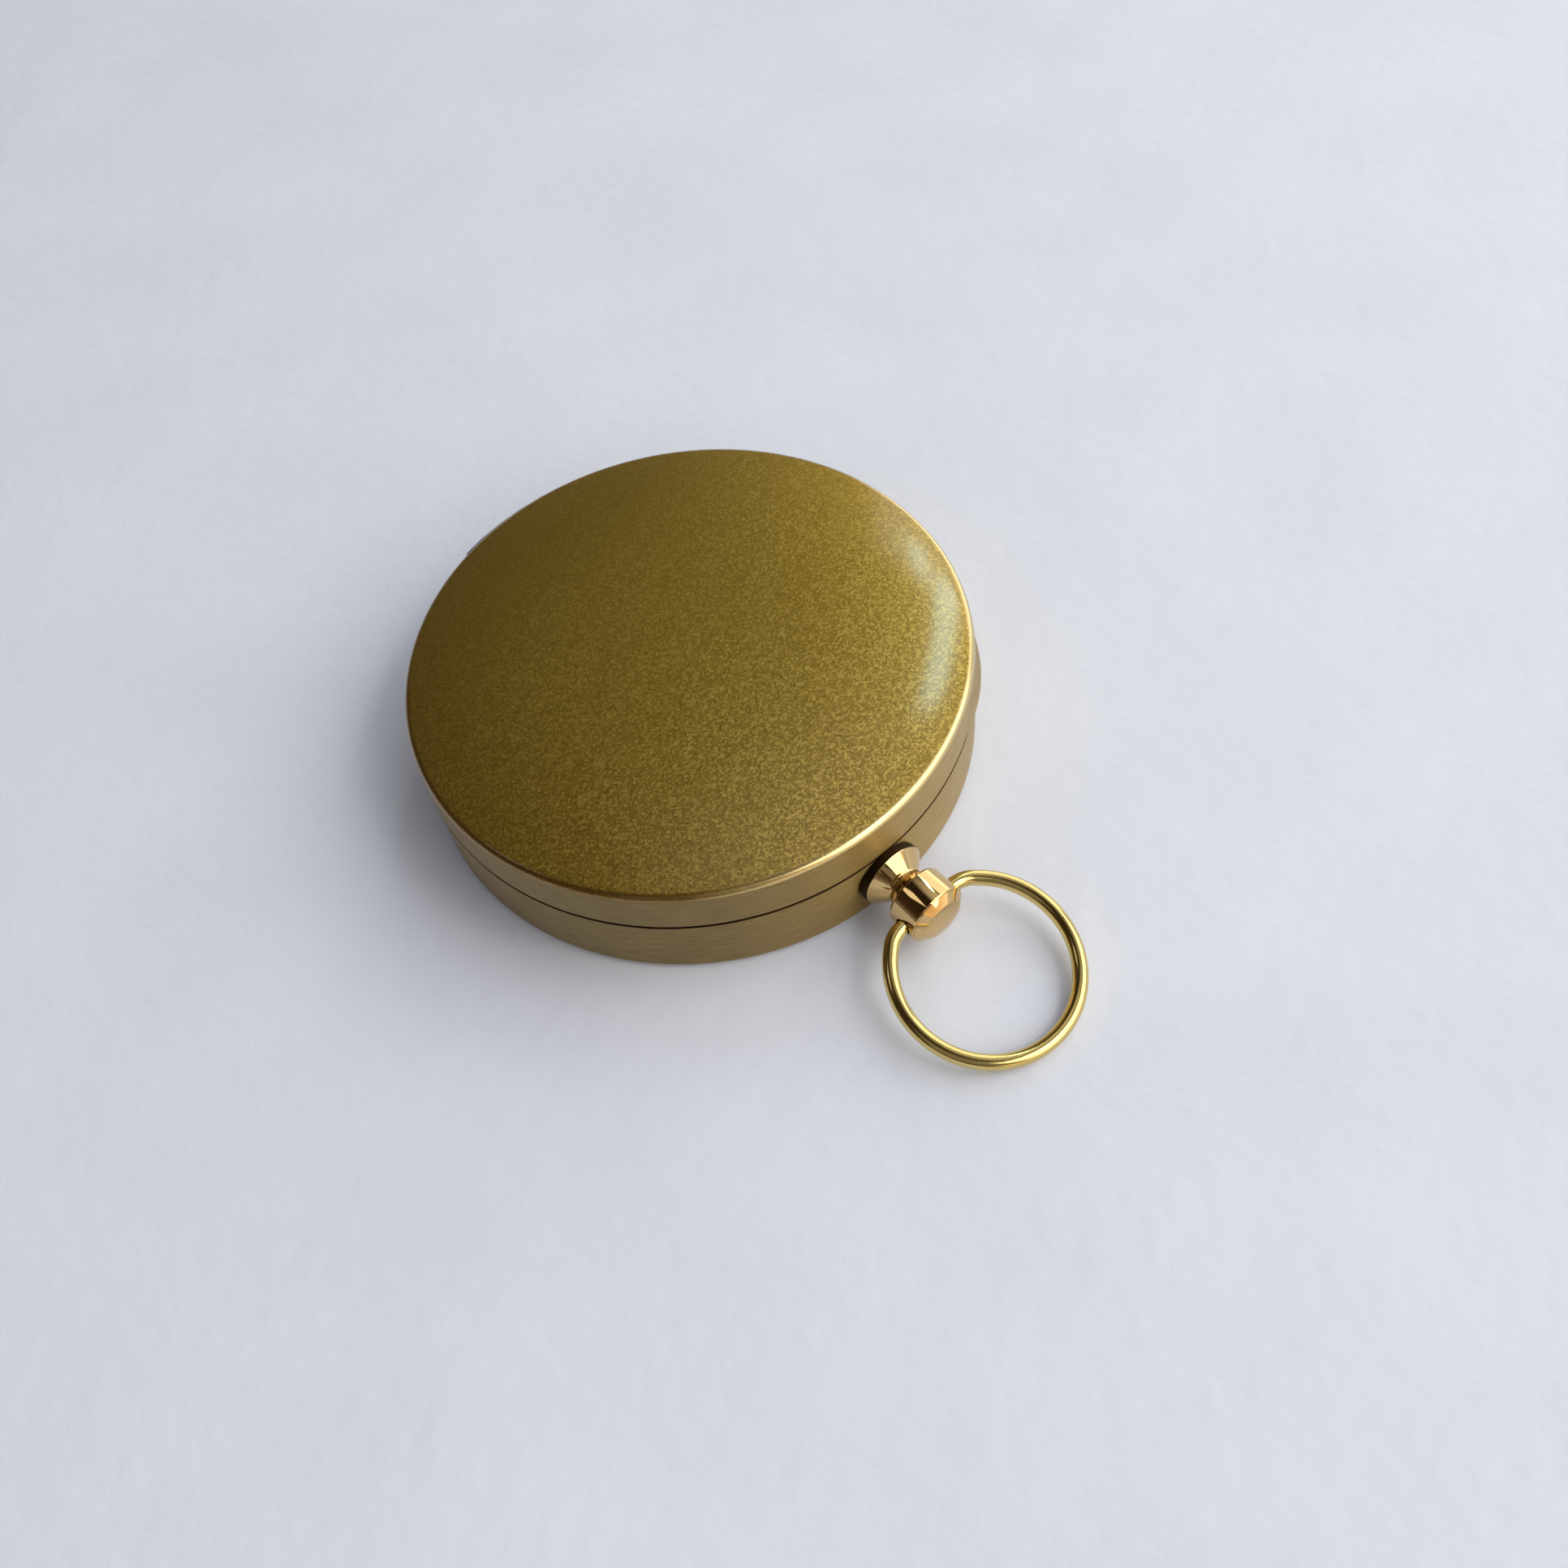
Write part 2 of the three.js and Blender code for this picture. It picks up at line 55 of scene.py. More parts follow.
# %% Sizes in millimetres
FIT = 0.05
SLIP = 0.1
CASE_R = 22.5
BASE_H = 6.15
SEAM = 0.2
LID_TOP = 10.85
LID_ROUND = 0.6
CROWN_DROP = 0.5
WALL_IN_R = 21.0
RIM_IN_R = 21.6
STEP_Z = 4.5
FLOOR_T = 1.0
LID_Z = BASE_H + SEAM
PEND_Z = 3.8
FLANGE_Y = CASE_R + SLIP
BARREL_R = 2.5
BARREL_Y = 25.55
BARREL_END = BARREL_Y + 2.45
PIVOT_Y = BARREL_Y + 1.35
WIRE_R = 0.6
RING_R = 6.95
STACK_R = 19.6
DIAL_TOP = 1.55
print("case", 2 * CASE_R, "mm across,", LID_TOP, "mm high")

# %% [markdown]
# ## Turning on the lathe
# Nearly every piece of a watch-like case is turned. Blender's lathe is `bmesh.ops.spin`: an outline
# of radius and height is swept once round the Z axis. A Screw modifier does the same, but the spin
# gives vertices that can still be moved, which the thumbnail lip needs. No machined edge is perfectly
# sharp, so `eased_outline` first turns each corner into a small arc: these arcs catch the light.

# %% Outlines and the lathe
# Points closer than this, in metres, become one
WELD = 1e-7


def eased_outline(corners, steps=5):
    """Points of an outline from (radius, height, rounding) corners."""
    outline = []
    for i, (r, h, rounding) in enumerate(corners):
        here = Vector((r, h))
        if not rounding:
            outline.append(here)
            continue
        before = Vector(corners[i - 1][:2])
        after = Vector(corners[(i + 1) % len(corners)][:2])
        start = here + (before - here).normalized() * rounding
        end = here + (after - here).normalized() * rounding
        for k in range(steps + 1):
            t = k / steps
            outline.append((1 - t) ** 2 * start + 2 * t * (1 - t) * here + t * t * end)
    return [tuple(p) for p in outline]


def spin(outline, steps, ring=False):
    """A turned bmesh on the Z axis; ring closes the outline on itself."""
    shape = bmesh.new()
    points = [shape.verts.new((r * MM, 0, h * MM)) for r, h in outline]
    pairs = list(zip(points, points[1:]))
    if ring:
        pairs.append((points[-1], points[0]))
    edges = [shape.edges.new(pair) for pair in pairs]
    bmesh.ops.spin(shape, geom=points + edges, cent=(0, 0, 0), axis=(0, 0, 1),
                   angle=math.tau, steps=steps, use_merge=True)
    bmesh.ops.remove_doubles(shape, verts=shape.verts, dist=WELD)
    bmesh.ops.recalc_face_normals(shape, faces=shape.faces)
    return shape


print("helpers: eased_outline, spin")

# %% [markdown]
# A finished mesh has smooth faces, and edges that stay crisp where two faces meet at a clear angle. It
# is then settled: it rides on its body and hides the CAD solid that it stands for. Holes are drilled
# with a Boolean modifier, and the drilled mesh is cleaned of slivers.

# %% From a shape to a settled piece
SHARP = math.radians(38)
SLIVER = 2e-6
DRILL_STEPS = 48


def finish_mesh(name, shape):
    """Turns a bmesh into an object with smooth faces and crisp edges."""
    mesh = bpy.data.meshes.new(name)
    shape.to_mesh(mesh)
    shape.free()
    mesh.shade_smooth()
    mesh.set_sharp_from_angle(angle=SHARP)
    piece = bpy.data.objects.new(name, mesh)
    scene.collection.objects.link(piece)
    return piece


def settle(piece, body, slot, *nodes):
    """Rides a piece on its body and hides the solids it stands for; the slot is not used."""
    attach(piece, body)
    if nodes:
        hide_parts(*nodes)
    print(piece.name, "on", body, "faces:", len(piece.data.polygons))
    return piece


def cut(piece, cutter):
    """Drills a piece with another mesh, then drops the drill."""
    drill = piece.modifiers.new("drill", "BOOLEAN")
    drill.operation = "DIFFERENCE"
    drill.solver = "EXACT"
    drill.object = cutter
    ready = piece.evaluated_get(bpy.context.evaluated_depsgraph_get())
    drilled = bpy.data.meshes.new_from_object(ready)
    shape = bmesh.new()
    shape.from_mesh(drilled)
    bmesh.ops.remove_doubles(shape, verts=shape.verts, dist=SLIVER)
    bmesh.ops.dissolve_degenerate(shape, edges=shape.edges, dist=SLIVER)
    shape.to_mesh(drilled)
    shape.free()
    piece.modifiers.clear()
    piece.data = drilled
    drilled.shade_smooth()
    drilled.set_sharp_from_angle(angle=SHARP)
    bpy.data.objects.remove(cutter)


def drill_bit(radius, start, end):
    """A plain cylinder on the Z axis, to cut with."""
    return spin([(0, start), (radius, start), (radius, end), (0, end)], DRILL_STEPS)


print("edges stay crisp above", round(math.degrees(SHARP)), "degrees")

# %% [markdown]
# ## The base
# The lower case is one turned cup: a floor, a wall, and a step near the top where the bezel sits.
# Its foot is rounded and its top edge has a fine chamfer, which makes the dark seam line look crisp.
# The pendant's shank goes through the wall, so a drill takes a hole out of it.

# %% Base cup
CASE_STEPS = 256
FOOT_ROUND = 0.9
SHANK_HOLE_R = 1.3
SHANK_HOLE_IN = 20
SHANK_HOLE_OUT = 23.5
base_corners = [
    (0, 0, 0),
    (CASE_R, 0, FOOT_ROUND),
    (CASE_R, BASE_H, 0.12),
    (RIM_IN_R, BASE_H, 0.08),
    (RIM_IN_R, STEP_Z, 0.05),
    (WALL_IN_R, STEP_Z, 0.08),
    (WALL_IN_R, FLOOR_T, 0.2),
    (0, FLOOR_T, 0),
]
base_case = finish_mesh("base_case", spin(eased_outline(base_corners, 7), CASE_STEPS))
# Tips the Z axis over to -Y and lifts it to the pendant's height
TO_PENDANT = Matrix.Translation((0, 0, PEND_Z * MM)) @ Matrix.Rotation(math.pi / 2, 4, "X")
shank_hole = drill_bit(SHANK_HOLE_R, SHANK_HOLE_IN, SHANK_HOLE_OUT)
shank_hole.transform(TO_PENDANT)
cut(base_case, finish_mesh("shank_hole", shank_hole))
settle(base_case, "base", "brushed_brass", "base_cup")

# %% [markdown]
# ## The lid
# The lid's top is nearly flat in the middle and falls towards its edge, faster and faster, before a
# tight round bends into the wall. A power curve gives that fall from one number. The wall has many
# rows of points, because a lip flares out of it for the thumbnail: each point in that patch is pushed
# outwards, most at the seam and least at the patch's border, so that no crease shows.

# %% Outline of the lid
CROWN_POWER = 5
CROWN_EDGE = CASE_R - LID_ROUND
LID_T = 0.9
CEILING = LID_TOP - CROWN_DROP - LID_T
RIM_EASE = 0.12
WALL_ROWS = 16


def crown(r):
    """Height of the lid's top at a radius."""
    return LID_TOP - CROWN_DROP * (r / CROWN_EDGE) ** CROWN_POWER


flat_radii = [4 * i for i in range(4)]
falling_radii = [13 + 0.5 * i for i in range(18)]
lid_outline = [(r, crown(r)) for r in flat_radii + falling_radii]
edge_z = crown(CROWN_EDGE) - LID_ROUND
# The tight round, in steps of 7 degrees
for degrees in range(84, -1, -7):
    turn = math.radians(degrees)
    lid_outline.append((CROWN_EDGE + LID_ROUND * math.cos(turn), edge_z + LID_ROUND * math.sin(turn)))
for k in range(1, WALL_ROWS + 1):
    lid_outline.append((CASE_R, edge_z + (LID_Z + RIM_EASE - edge_z) * k / WALL_ROWS))
lid_outline += eased_outline([
    (CASE_R, LID_Z + RIM_EASE, 0),
    (CASE_R, LID_Z, 0.1),
    (RIM_IN_R, LID_Z, 0.08),
    (RIM_IN_R, CEILING, 0.6),
    (0, CEILING, 0),
], 7)[1:]
print("lid outline:", len(lid_outline), "points, edge at", round(edge_z, 2), "mm")

# %% Lid shell with its thumbnail lip
LID_STEPS = 320
LIP_OUT = 0.45
LIP_RISE = 3.0
LIP_BLEND = 0.75
LIP_AZ = math.radians(-45)
LIP_HALF = math.radians(14.5)
OUTER_SKIN = 0.2
lid_shape = spin(lid_outline, LID_STEPS)
for vert in lid_shape.verts:
    reach = math.hypot(vert.co.x, vert.co.y) / MM
    up = (vert.co.z / MM - LID_Z) / LIP_RISE
    aside = (math.atan2(vert.co.y, vert.co.x) - LIP_AZ + math.pi) % math.tau - math.pi
    if reach > CASE_R - OUTER_SKIN and up < 1 and abs(aside) < LIP_HALF:
        rise = min(1, max(0, (1 - up) / LIP_BLEND))
        flare = LIP_OUT * (1 - (aside / LIP_HALF) ** 2) ** 1.5 * rise * rise * (3 - 2 * rise)
        vert.co.xy *= (reach + flare) / reach
lid_cover = finish_mesh("lid_cover", lid_shape)
settle(lid_cover, "lid", "satin_brass", "lid_shell")

# %% [markdown]
# ## The pendant
# The pendant is turned from bar: a thin flange against the wall, a cone down to a waist, a hollow-curved
# shoulder, then a plain barrel with bevelled edges. Two blind holes in the barrel's sides take the ring's
# ends. Its axis lies along -Y, so the turned mesh is tipped over after the spin.

# %% Outline of the pendant stud
SHANK_R = 1.2
FLANGE_R = 2.7
FLANGE_T = 0.75
NECK_R = 1.55
NECK_L = 1.05
SHOULDER_L = 0.9
BEVEL = 0.25
TURNED_EDGE = 0.1
SPIGOT_R = 1.0
SPIGOT_L = 1.2
CURVE_STEPS = 12
FLANGE_END = FLANGE_Y + FLANGE_T
shoulder = []
for k in range(1, CURVE_STEPS + 1):
    t = k * math.pi / (2 * CURVE_STEPS)
    shoulder.append((NECK_R + (BARREL_R - BEVEL - NECK_R) * (1 - math.cos(t)),
                     FLANGE_END + NECK_L + SHOULDER_L * math.sin(t), 0))
stud_corners = [
    (0, STACK_R + SLIP, 0),
    (SHANK_R, STACK_R + SLIP, 0.15),
    (SHANK_R, FLANGE_Y, 0),
    (FLANGE_R, FLANGE_Y, TURNED_EDGE),
    (FLANGE_R, FLANGE_END - TURNED_EDGE, 0.05),
    (FLANGE_R - TURNED_EDGE, FLANGE_END, 0.05),
    (NECK_R, FLANGE_END + NECK_L, 0.1),
    *shoulder,
    (BARREL_R, BARREL_Y, 0.06),
    (BARREL_R, BARREL_END - TURNED_EDGE, 0.03),
    (BARREL_R - TURNED_EDGE, BARREL_END, 0.02),
    (SPIGOT_R, BARREL_END, 0),
    (SPIGOT_R, BARREL_END - SPIGOT_L, 0),
    (0, BARREL_END - SPIGOT_L, 0),
]
print("pendant outline:", len(stud_corners), "corners")

# %% Pendant stud
PENDANT_STEPS = 96
RING_HOLE_IN = 1.3
RING_HOLE_OUT = 3.5
stud_shape = spin(eased_outline(stud_corners, 4), PENDANT_STEPS)
stud_shape.transform(TO_PENDANT)
pendant_turned = finish_mesh("pendant_turned", stud_shape)
for side in (-1, 1):
    ring_hole = drill_bit(WIRE_R + SLIP, RING_HOLE_IN, RING_HOLE_OUT)
    ring_hole.transform(Matrix.Translation((0, -PIVOT_Y * MM, PEND_Z * MM))
                        @ Matrix.Rotation(side * math.pi / 2, 4, "Y"))
    cut(pendant_turned, finish_mesh("ring_hole", ring_hole))
settle(pendant_turned, "base", "polished_brass", "pendant_stud")

# %% [markdown]
# The end cap is a piece of its own, pressed into the barrel. It has a coned edge and a low dome, which
# is a slice of a sphere: its width and its height give the sphere's radius.

# %% End cap
CAP_Y = BARREL_END + 0.02
CAP_CONE = 0.55
CAP_DOME = 0.25
CONE_R = 1.72
sphere_r = (CONE_R ** 2 + CAP_DOME ** 2) / (2 * CAP_DOME)
dome_span = math.asin(CONE_R / sphere_r)
dome = []
for k in range(1, CURVE_STEPS + 1):
    t = dome_span * (1 - k / CURVE_STEPS)
    dome.append((sphere_r * math.sin(t), CAP_Y + CAP_CONE + CAP_DOME - sphere_r * (1 - math.cos(t)), 0))
dome[-1] = (0, dome[-1][1], 0)
cap_corners = [
    (0, BARREL_END - SPIGOT_L + FIT, 0),
    (SPIGOT_R - FIT, BARREL_END - SPIGOT_L + FIT, 0),
    (SPIGOT_R - FIT, CAP_Y, 0),
    (BARREL_R - TURNED_EDGE, CAP_Y, 0.01),
    (CONE_R, CAP_Y + CAP_CONE, 0.12),
    *dome,
]
cap_shape = spin(eased_outline(cap_corners, 5), PENDANT_STEPS)
cap_shape.transform(TO_PENDANT)
pendant_end = settle(finish_mesh("pendant_end", cap_shape), "base", "polished_brass", "pendant_cap")

# %% [markdown]
# ## The ring
# One length of round wire is bent to a circle, and its two ends turn inwards into the barrel. A curve
# with a round bevel is the natural way to make wire: the path follows the same points as the CAD ring,
# leaning down until its far side touches the table. The curve is then turned into a mesh.

# %% Path of the wire
RING_CLEAR = 0.7
TABLE_GAP = 0.03
PIN_IN = 1.4
RING_KNOTS = 32
RING_TRIM = 0.015
chord = BARREL_R + RING_CLEAR
ring_y = math.sqrt(RING_R ** 2 - chord ** 2)
lean = math.asin((PEND_Z - WIRE_R - TABLE_GAP) / (ring_y + RING_R))
start = math.atan2(-ring_y, -chord)
sweep = math.tau - 2 * math.asin(chord / RING_R)


def on_ring(u, v):
    """A point of the leaning ring: u sideways, v away from the pivot."""
    return Vector((u, -PIVOT_Y - v * math.cos(lean), PEND_Z - v * math.sin(lean))) * MM


pin = [PIN_IN, (PIN_IN + BARREL_R) / 2, BARREL_R + SLIP]
ring_path = [on_ring(-u, 0) for u in pin]
for k in range(RING_KNOTS + 1):
    t = start - sweep * (RING_TRIM + (1 - 2 * RING_TRIM) * k / RING_KNOTS)
    ring_path.append(on_ring(RING_R * math.cos(t), ring_y + RING_R * math.sin(t)))
ring_path += [on_ring(u, 0) for u in reversed(pin)]
print("ring path:", len(ring_path), "knots")

# %% Wire ring
wire = bpy.data.curves.new("wire", "CURVE")
wire.dimensions = "3D"
wire.resolution_u = 6
wire.bevel_depth = WIRE_R * MM
wire.bevel_resolution = 7
wire.use_fill_caps = True
strand = wire.splines.new("BEZIER")
strand.bezier_points.add(len(ring_path) - 1)
for knot, point in zip(strand.bezier_points, ring_path):
    knot.co = point
    knot.handle_left_type = knot.handle_right_type = "AUTO"
wire_object = bpy.data.objects.new("wire", wire)
scene.collection.objects.link(wire_object)
bent = wire_object.evaluated_get(bpy.context.evaluated_depsgraph_get())
ring_shape = bmesh.new()
ring_shape.from_mesh(bpy.data.meshes.new_from_object(bent))
bmesh.ops.remove_doubles(ring_shape, verts=ring_shape.verts, dist=WELD)
bpy.data.objects.remove(wire_object)
wire_bow = settle(finish_mesh("wire_bow", ring_shape), "ring", "ring_brass", "bow_ring")

# %% [markdown]
# ## The bezel and the glass
# Inside the lid, a turned bezel is pressed into the base. It covers the edge of the glass, and a small
# bead round it is what the lid snaps over. A notch in its underside leaves room for the pendant's nut.
# The glass is a plain disc with ground edges.

# %% Bezel
BEZEL_TOP = BASE_H + 1.4
LIP_Z = BEZEL_TOP - 1.2
BEZEL_R = RIM_IN_R - SLIP
BEZEL_IN_R = STACK_R - 1.0
BEAD_R = 21.25
BEAD_Z = 6.99
BEAD_OUT = 0.2
BEAD_HALF = 0.22
NOTCH_PLACE = Vector((0, -21.1, 4.9))
NOTCH_SIZE = Vector((4.4, 3.0, 2.0))
bezel_corners = [
    (STACK_R + SLIP, STEP_Z + FIT, 0),
    (BEZEL_R, STEP_Z + FIT, 0.05),
    (BEZEL_R, BASE_H - FIT, 0.05),
    (BEAD_R, BASE_H + SEAM, 0.04),
    (BEAD_R, BEAD_Z - BEAD_HALF, 0.04),
    (BEAD_R + BEAD_OUT, BEAD_Z, 0.12),
    (BEAD_R, BEAD_Z + BEAD_HALF, 0.04),
    (BEAD_R - 0.2, BEZEL_TOP, 0.12),
    (BEZEL_IN_R + 0.5, BEZEL_TOP, 0.15),
    (BEZEL_IN_R, LIP_Z + 0.45, 0.1),
    (BEZEL_IN_R, LIP_Z, 0.03),
    (STACK_R + SLIP, LIP_Z, 0),
]
bezel_shape = spin(eased_outline(bezel_corners, 4), CASE_STEPS, ring=True)
bezel_turned = finish_mesh("bezel_turned", bezel_shape)
notch = bmesh.new()
bmesh.ops.create_cube(notch, size=1.0, matrix=Matrix.Translation(NOTCH_PLACE * MM)
                      @ Matrix.Diagonal(NOTCH_SIZE * MM).to_4x4())
cut(bezel_turned, finish_mesh("notch", notch))
settle(bezel_turned, "base", "polished_brass", "bezel_ring")

# %% Glass
DIAL_STEPS = 192
GLASS_Z = 5.0
GLASS_TOP = 6.3
GROUND_EDGE = 0.2
glass_corners = [
    (0, GLASS_Z, 0),
    (STACK_R, GLASS_Z, GROUND_EDGE),
    (STACK_R, GLASS_TOP, GROUND_EDGE),
    (0, GLASS_TOP, 0),
]
glass_disc = spin(eased_outline(glass_corners), DIAL_STEPS)
glass_lens = settle(finish_mesh("glass_lens", glass_disc), "base", "crystal", "crystal")

# %% [markdown]
# ## The dial and the degree ring
# A stamped metal dial lies on the floor of the base, and a sloped ring round it carries the degrees.
# The print on a real dial is a film of ink a few hundredths of a millimetre thick. Here each mark is a
# thin solid on the surface, so it keeps its sharp edge from close up and in the exported mesh.

# %% Dial plate
DIAL_Z = FLOOR_T + FIT
DIAL_HOLE_R = 0.9
dial_corners = [
    (DIAL_HOLE_R, DIAL_Z, 0),
    (STACK_R, DIAL_Z, 0.05),
    (STACK_R, DIAL_TOP, 0.08),
    (DIAL_HOLE_R, DIAL_TOP, 0.05),
]
dial_face = finish_mesh("dial_face", spin(eased_outline(dial_corners), DIAL_STEPS, ring=True))
settle(dial_face, "base", "dial_white", "dial_plate")

# %% Degree ring
RING_Z = DIAL_TOP + FIT
SLOPE_Z = RING_Z + 0.2
RING_FOOT_R = STACK_R - 2.2
RING_HEAD_R = STACK_R - 0.85
degree_corners = [
    (RING_FOOT_R, RING_Z, 0),
    (STACK_R, RING_Z, 0),
    (STACK_R, STEP_Z, 0),
    (RING_HEAD_R, STEP_Z, 0.05),
    (RING_FOOT_R, SLOPE_Z, 0.05),
]
degree_ring = finish_mesh("degree_ring", spin(eased_outline(degree_corners), DIAL_STEPS, ring=True))
settle(degree_ring, "base", "scale_ring", "dial_ring")

# %% [markdown]
# North on the dial is at the pendant. A bearing counts clockwise from there, seen from above. Each
# mark is a small six-sided block set along its bearing, flat on the dial or up the slope of the ring.

# %% Helpers for marks
INK = 0.02


def bearing_direction(bearing):
    """The level direction that a bearing in degrees points to."""
    angle = math.radians(bearing)
    return Vector((-math.sin(angle), -math.cos(angle), 0))


def add_mark(shape, bearing, inner, outer, width):
    """A thin block between two (radius, height) points on a bearing."""
    out = bearing_direction(bearing)
    across = Vector((-out.y, out.x, 0)) * width / 2
    low = out * inner[0] + Vector((0, 0, inner[1]))
    high = out * outer[0] + Vector((0, 0, outer[1]))
    lift = across.cross(high - low).normalized() * INK
    if lift.z < 0:
        lift = -lift
    layers = []
    for shift in (Vector(), lift):
        layers.append([shape.verts.new((p + shift) * MM)
                       for p in (low - across, low + across, high + across, high - across)])
    bottom, top = layers
    shape.faces.new(bottom[::-1])
    shape.faces.new(top)
    for k in range(4):
        n = (k + 1) % 4
        shape.faces.new((bottom[k], bottom[n], top[n], top[k]))


def first_fit(bearing, kinds):
    """Where a mark starts and how wide it is: the first kind whose step fits the bearing."""
    return next((begin, width) for step, begin, width in kinds if bearing % step == 0)


print("east is towards", [round(v) for v in bearing_direction(90)])

# %% Marks on the dial
# Step in degrees, radius where the mark starts, width
DIAL_MARKS = [(30, 14.6, 0.32), (10, 15.2, 0.18), (5, 15.8, 0.18)]
MARK_OUT_R = 16.6
dial_marks = bmesh.new()
for bearing in range(0, 360, 5):
    begin, width = first_fit(bearing, DIAL_MARKS)
    add_mark(dial_marks, bearing, (begin, DIAL_TOP), (MARK_OUT_R, DIAL_TOP), width)
bmesh.ops.recalc_face_normals(dial_marks, faces=dial_marks.faces)
dial_scale = settle(finish_mesh("dial_scale", dial_marks), "base", "scale_ring")

# %% Marks on the slope
# Step in degrees, share of the slope where the mark starts, width
SLOPE_MARKS = [(10, 0.12, 0.24), (2, 0.5, 0.14)]
SLOPE_END = 0.9
slope_marks = bmesh.new()
slope = Vector((RING_HEAD_R - RING_FOOT_R, STEP_Z - SLOPE_Z))
for bearing in range(0, 360, 2):
    begin, width = first_fit(bearing, SLOPE_MARKS)
    low, high = [(RING_FOOT_R + slope.x * f, SLOPE_Z + slope.y * f) for f in (begin, SLOPE_END)]
    add_mark(slope_marks, bearing, low, high, width)
bmesh.ops.recalc_face_normals(slope_marks, faces=slope_marks.faces)
slope_scale = settle(finish_mesh("slope_scale", slope_marks), "base", "dial_white")

# %% [markdown]
# Numbers and letters come from Blender's own font. A text object knows size and spacing, so it is set
# first, then turned into a mesh, and all of them are gathered into one piece.

# %% Numbers and letters
NUMBER_R = 12.9
NUMBER_SIZE = 2.2
LETTER_R = 12.3
LETTER_SIZE = 3.6
LETTER_WELD = 1e-8


def add_words(shape, words, bearing, radius, size):
    """Printed words at a bearing, with their tops towards the rim."""
    text = bpy.data.curves.new("words", "FONT")
    text.body = words
    text.size = size * MM
    text.align_x = "CENTER"
    text.align_y = "CENTER"
    text.extrude = INK / 2 * MM
    text.resolution_u = 4
    holder = bpy.data.objects.new("words", text)
    scene.collection.objects.link(holder)
    made = bpy.data.meshes.new_from_object(holder.evaluated_get(bpy.context.evaluated_depsgraph_get()))
    place = bearing_direction(bearing) * radius * MM
    made.transform(Matrix.Translation((place.x, place.y, (DIAL_TOP + INK / 2) * MM))
                   @ Matrix.Rotation(math.pi - math.radians(bearing), 4, "Z"))
    shape.from_mesh(made)
    bpy.data.objects.remove(holder)


words_shape = bmesh.new()
for bearing in range(0, 360, 30):
    if bearing % 90:
        add_words(words_shape, str(bearing), bearing, NUMBER_R, NUMBER_SIZE)
for letter, bearing in zip("NESW", range(0, 360, 90)):
    add_words(words_shape, letter, bearing, LETTER_R, LETTER_SIZE)
bmesh.ops.remove_doubles(words_shape, verts=words_shape.verts, dist=LETTER_WELD)
dial_words = settle(finish_mesh("dial_words", words_shape), "base", "scale_ring")

# %% [markdown]
# The middle of the dial has the plain eight-pointed star that maps have used for centuries. Each point
# is split down its middle into a dark and a light half, which makes the flat print look faceted.

# %% Star of directions
STAR_HUB_R = 2.4
STAR_WAIST_R = 3.4
LONG_POINT = 9.8
SHORT_POINT = 7.0
HALF_STEP = 22.5


def add_point(shape, bearing, length, side):
    """One half of a star point, as a thin solid."""
    ahead = bearing_direction(bearing)
    beside = bearing_direction(bearing + side * HALF_STEP)
    corners = (ahead * STAR_HUB_R, ahead * length, beside * STAR_WAIST_R, beside * STAR_HUB_R)
    rows = [[shape.verts.new((p.x * MM, p.y * MM, h * MM)) for p in corners]
            for h in (DIAL_TOP, DIAL_TOP + INK)]
    for row in rows:
        shape.faces.new(row)
    for k in range(4):
        n = (k + 1) % 4
        shape.faces.new((rows[0][k], rows[0][n], rows[1][n], rows[1][k]))


stars = {}
for name, side, slot in (("star_dark", 1, "scale_ring"), ("star_light", -1, "polished_brass")):
    star_shape = bmesh.new()
    for bearing in range(0, 360, 45):
        add_point(star_shape, bearing, SHORT_POINT if bearing % 90 else LONG_POINT, side)
    bmesh.ops.recalc_face_normals(star_shape, faces=star_shape.faces)
    stars[name] = settle(finish_mesh(name, star_shape), "base", slot)

# %% [markdown]
# ## The needle and the small parts
# These pieces have the right form in the CAD already, but their edges are knife sharp. A copy of each
# solid is welded, its flat triangles are joined, and a small bevel goes on every edge. The copy then
# stands for the solid, so the CAD mesh itself stays untouched.

# %% Needle, bearing, hinge and fixings
# Node, body, finish, width of the bevel
EASED = [
    ("needle_blade", "needle", "blued_steel", 0.05),
    ("needle_tip", "needle", "lume", 0.03),
    ("needle_weight", "needle", "brushed_brass", 0.05),
    ("needle_cap", "needle", "polished_brass", 0.05),
    ("needle_jewel", "needle", "jewel", 0.03),
    ("pivot_post", "base", "polished_brass", 0.04),
    ("pivot_pin", "base", "steel", 0.02),
    ("hinge_leaf_base", "base", "brushed_brass", 0.07),
    ("hinge_leaf_lid", "lid", "brushed_brass", 0.07),
    ("hinge_pin", "base", "steel", 0.08),
    ("pendant_washer", "base", "steel", 0.04),
    ("pendant_nut", "base", "brushed_brass", 0.1),
    ("crystal_gasket", "base", "gasket", 0.08),
]
FLAT_ANGLE = math.radians(1)
small_parts = {}
for node, body, slot, width in EASED:
    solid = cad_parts[node].data.copy()
    if "custom_normal" in solid.attributes:
        solid.attributes.remove(solid.attributes["custom_normal"])
    shape = bmesh.new()
    shape.from_mesh(solid)
    bmesh.ops.remove_doubles(shape, verts=shape.verts, dist=WELD)
    bmesh.ops.dissolve_limit(shape, angle_limit=FLAT_ANGLE, verts=shape.verts, edges=shape.edges)
    sharp_edges = [e for e in shape.edges if e.calc_face_angle(0) > SHARP]
    bmesh.ops.bevel(shape, geom=sharp_edges, offset=width * MM, offset_type="OFFSET", segments=3,
                    profile=0.5, affect="EDGES", clamp_overlap=True)
    small_parts[node] = settle(finish_mesh("eased_" + node, shape), body, slot, node)

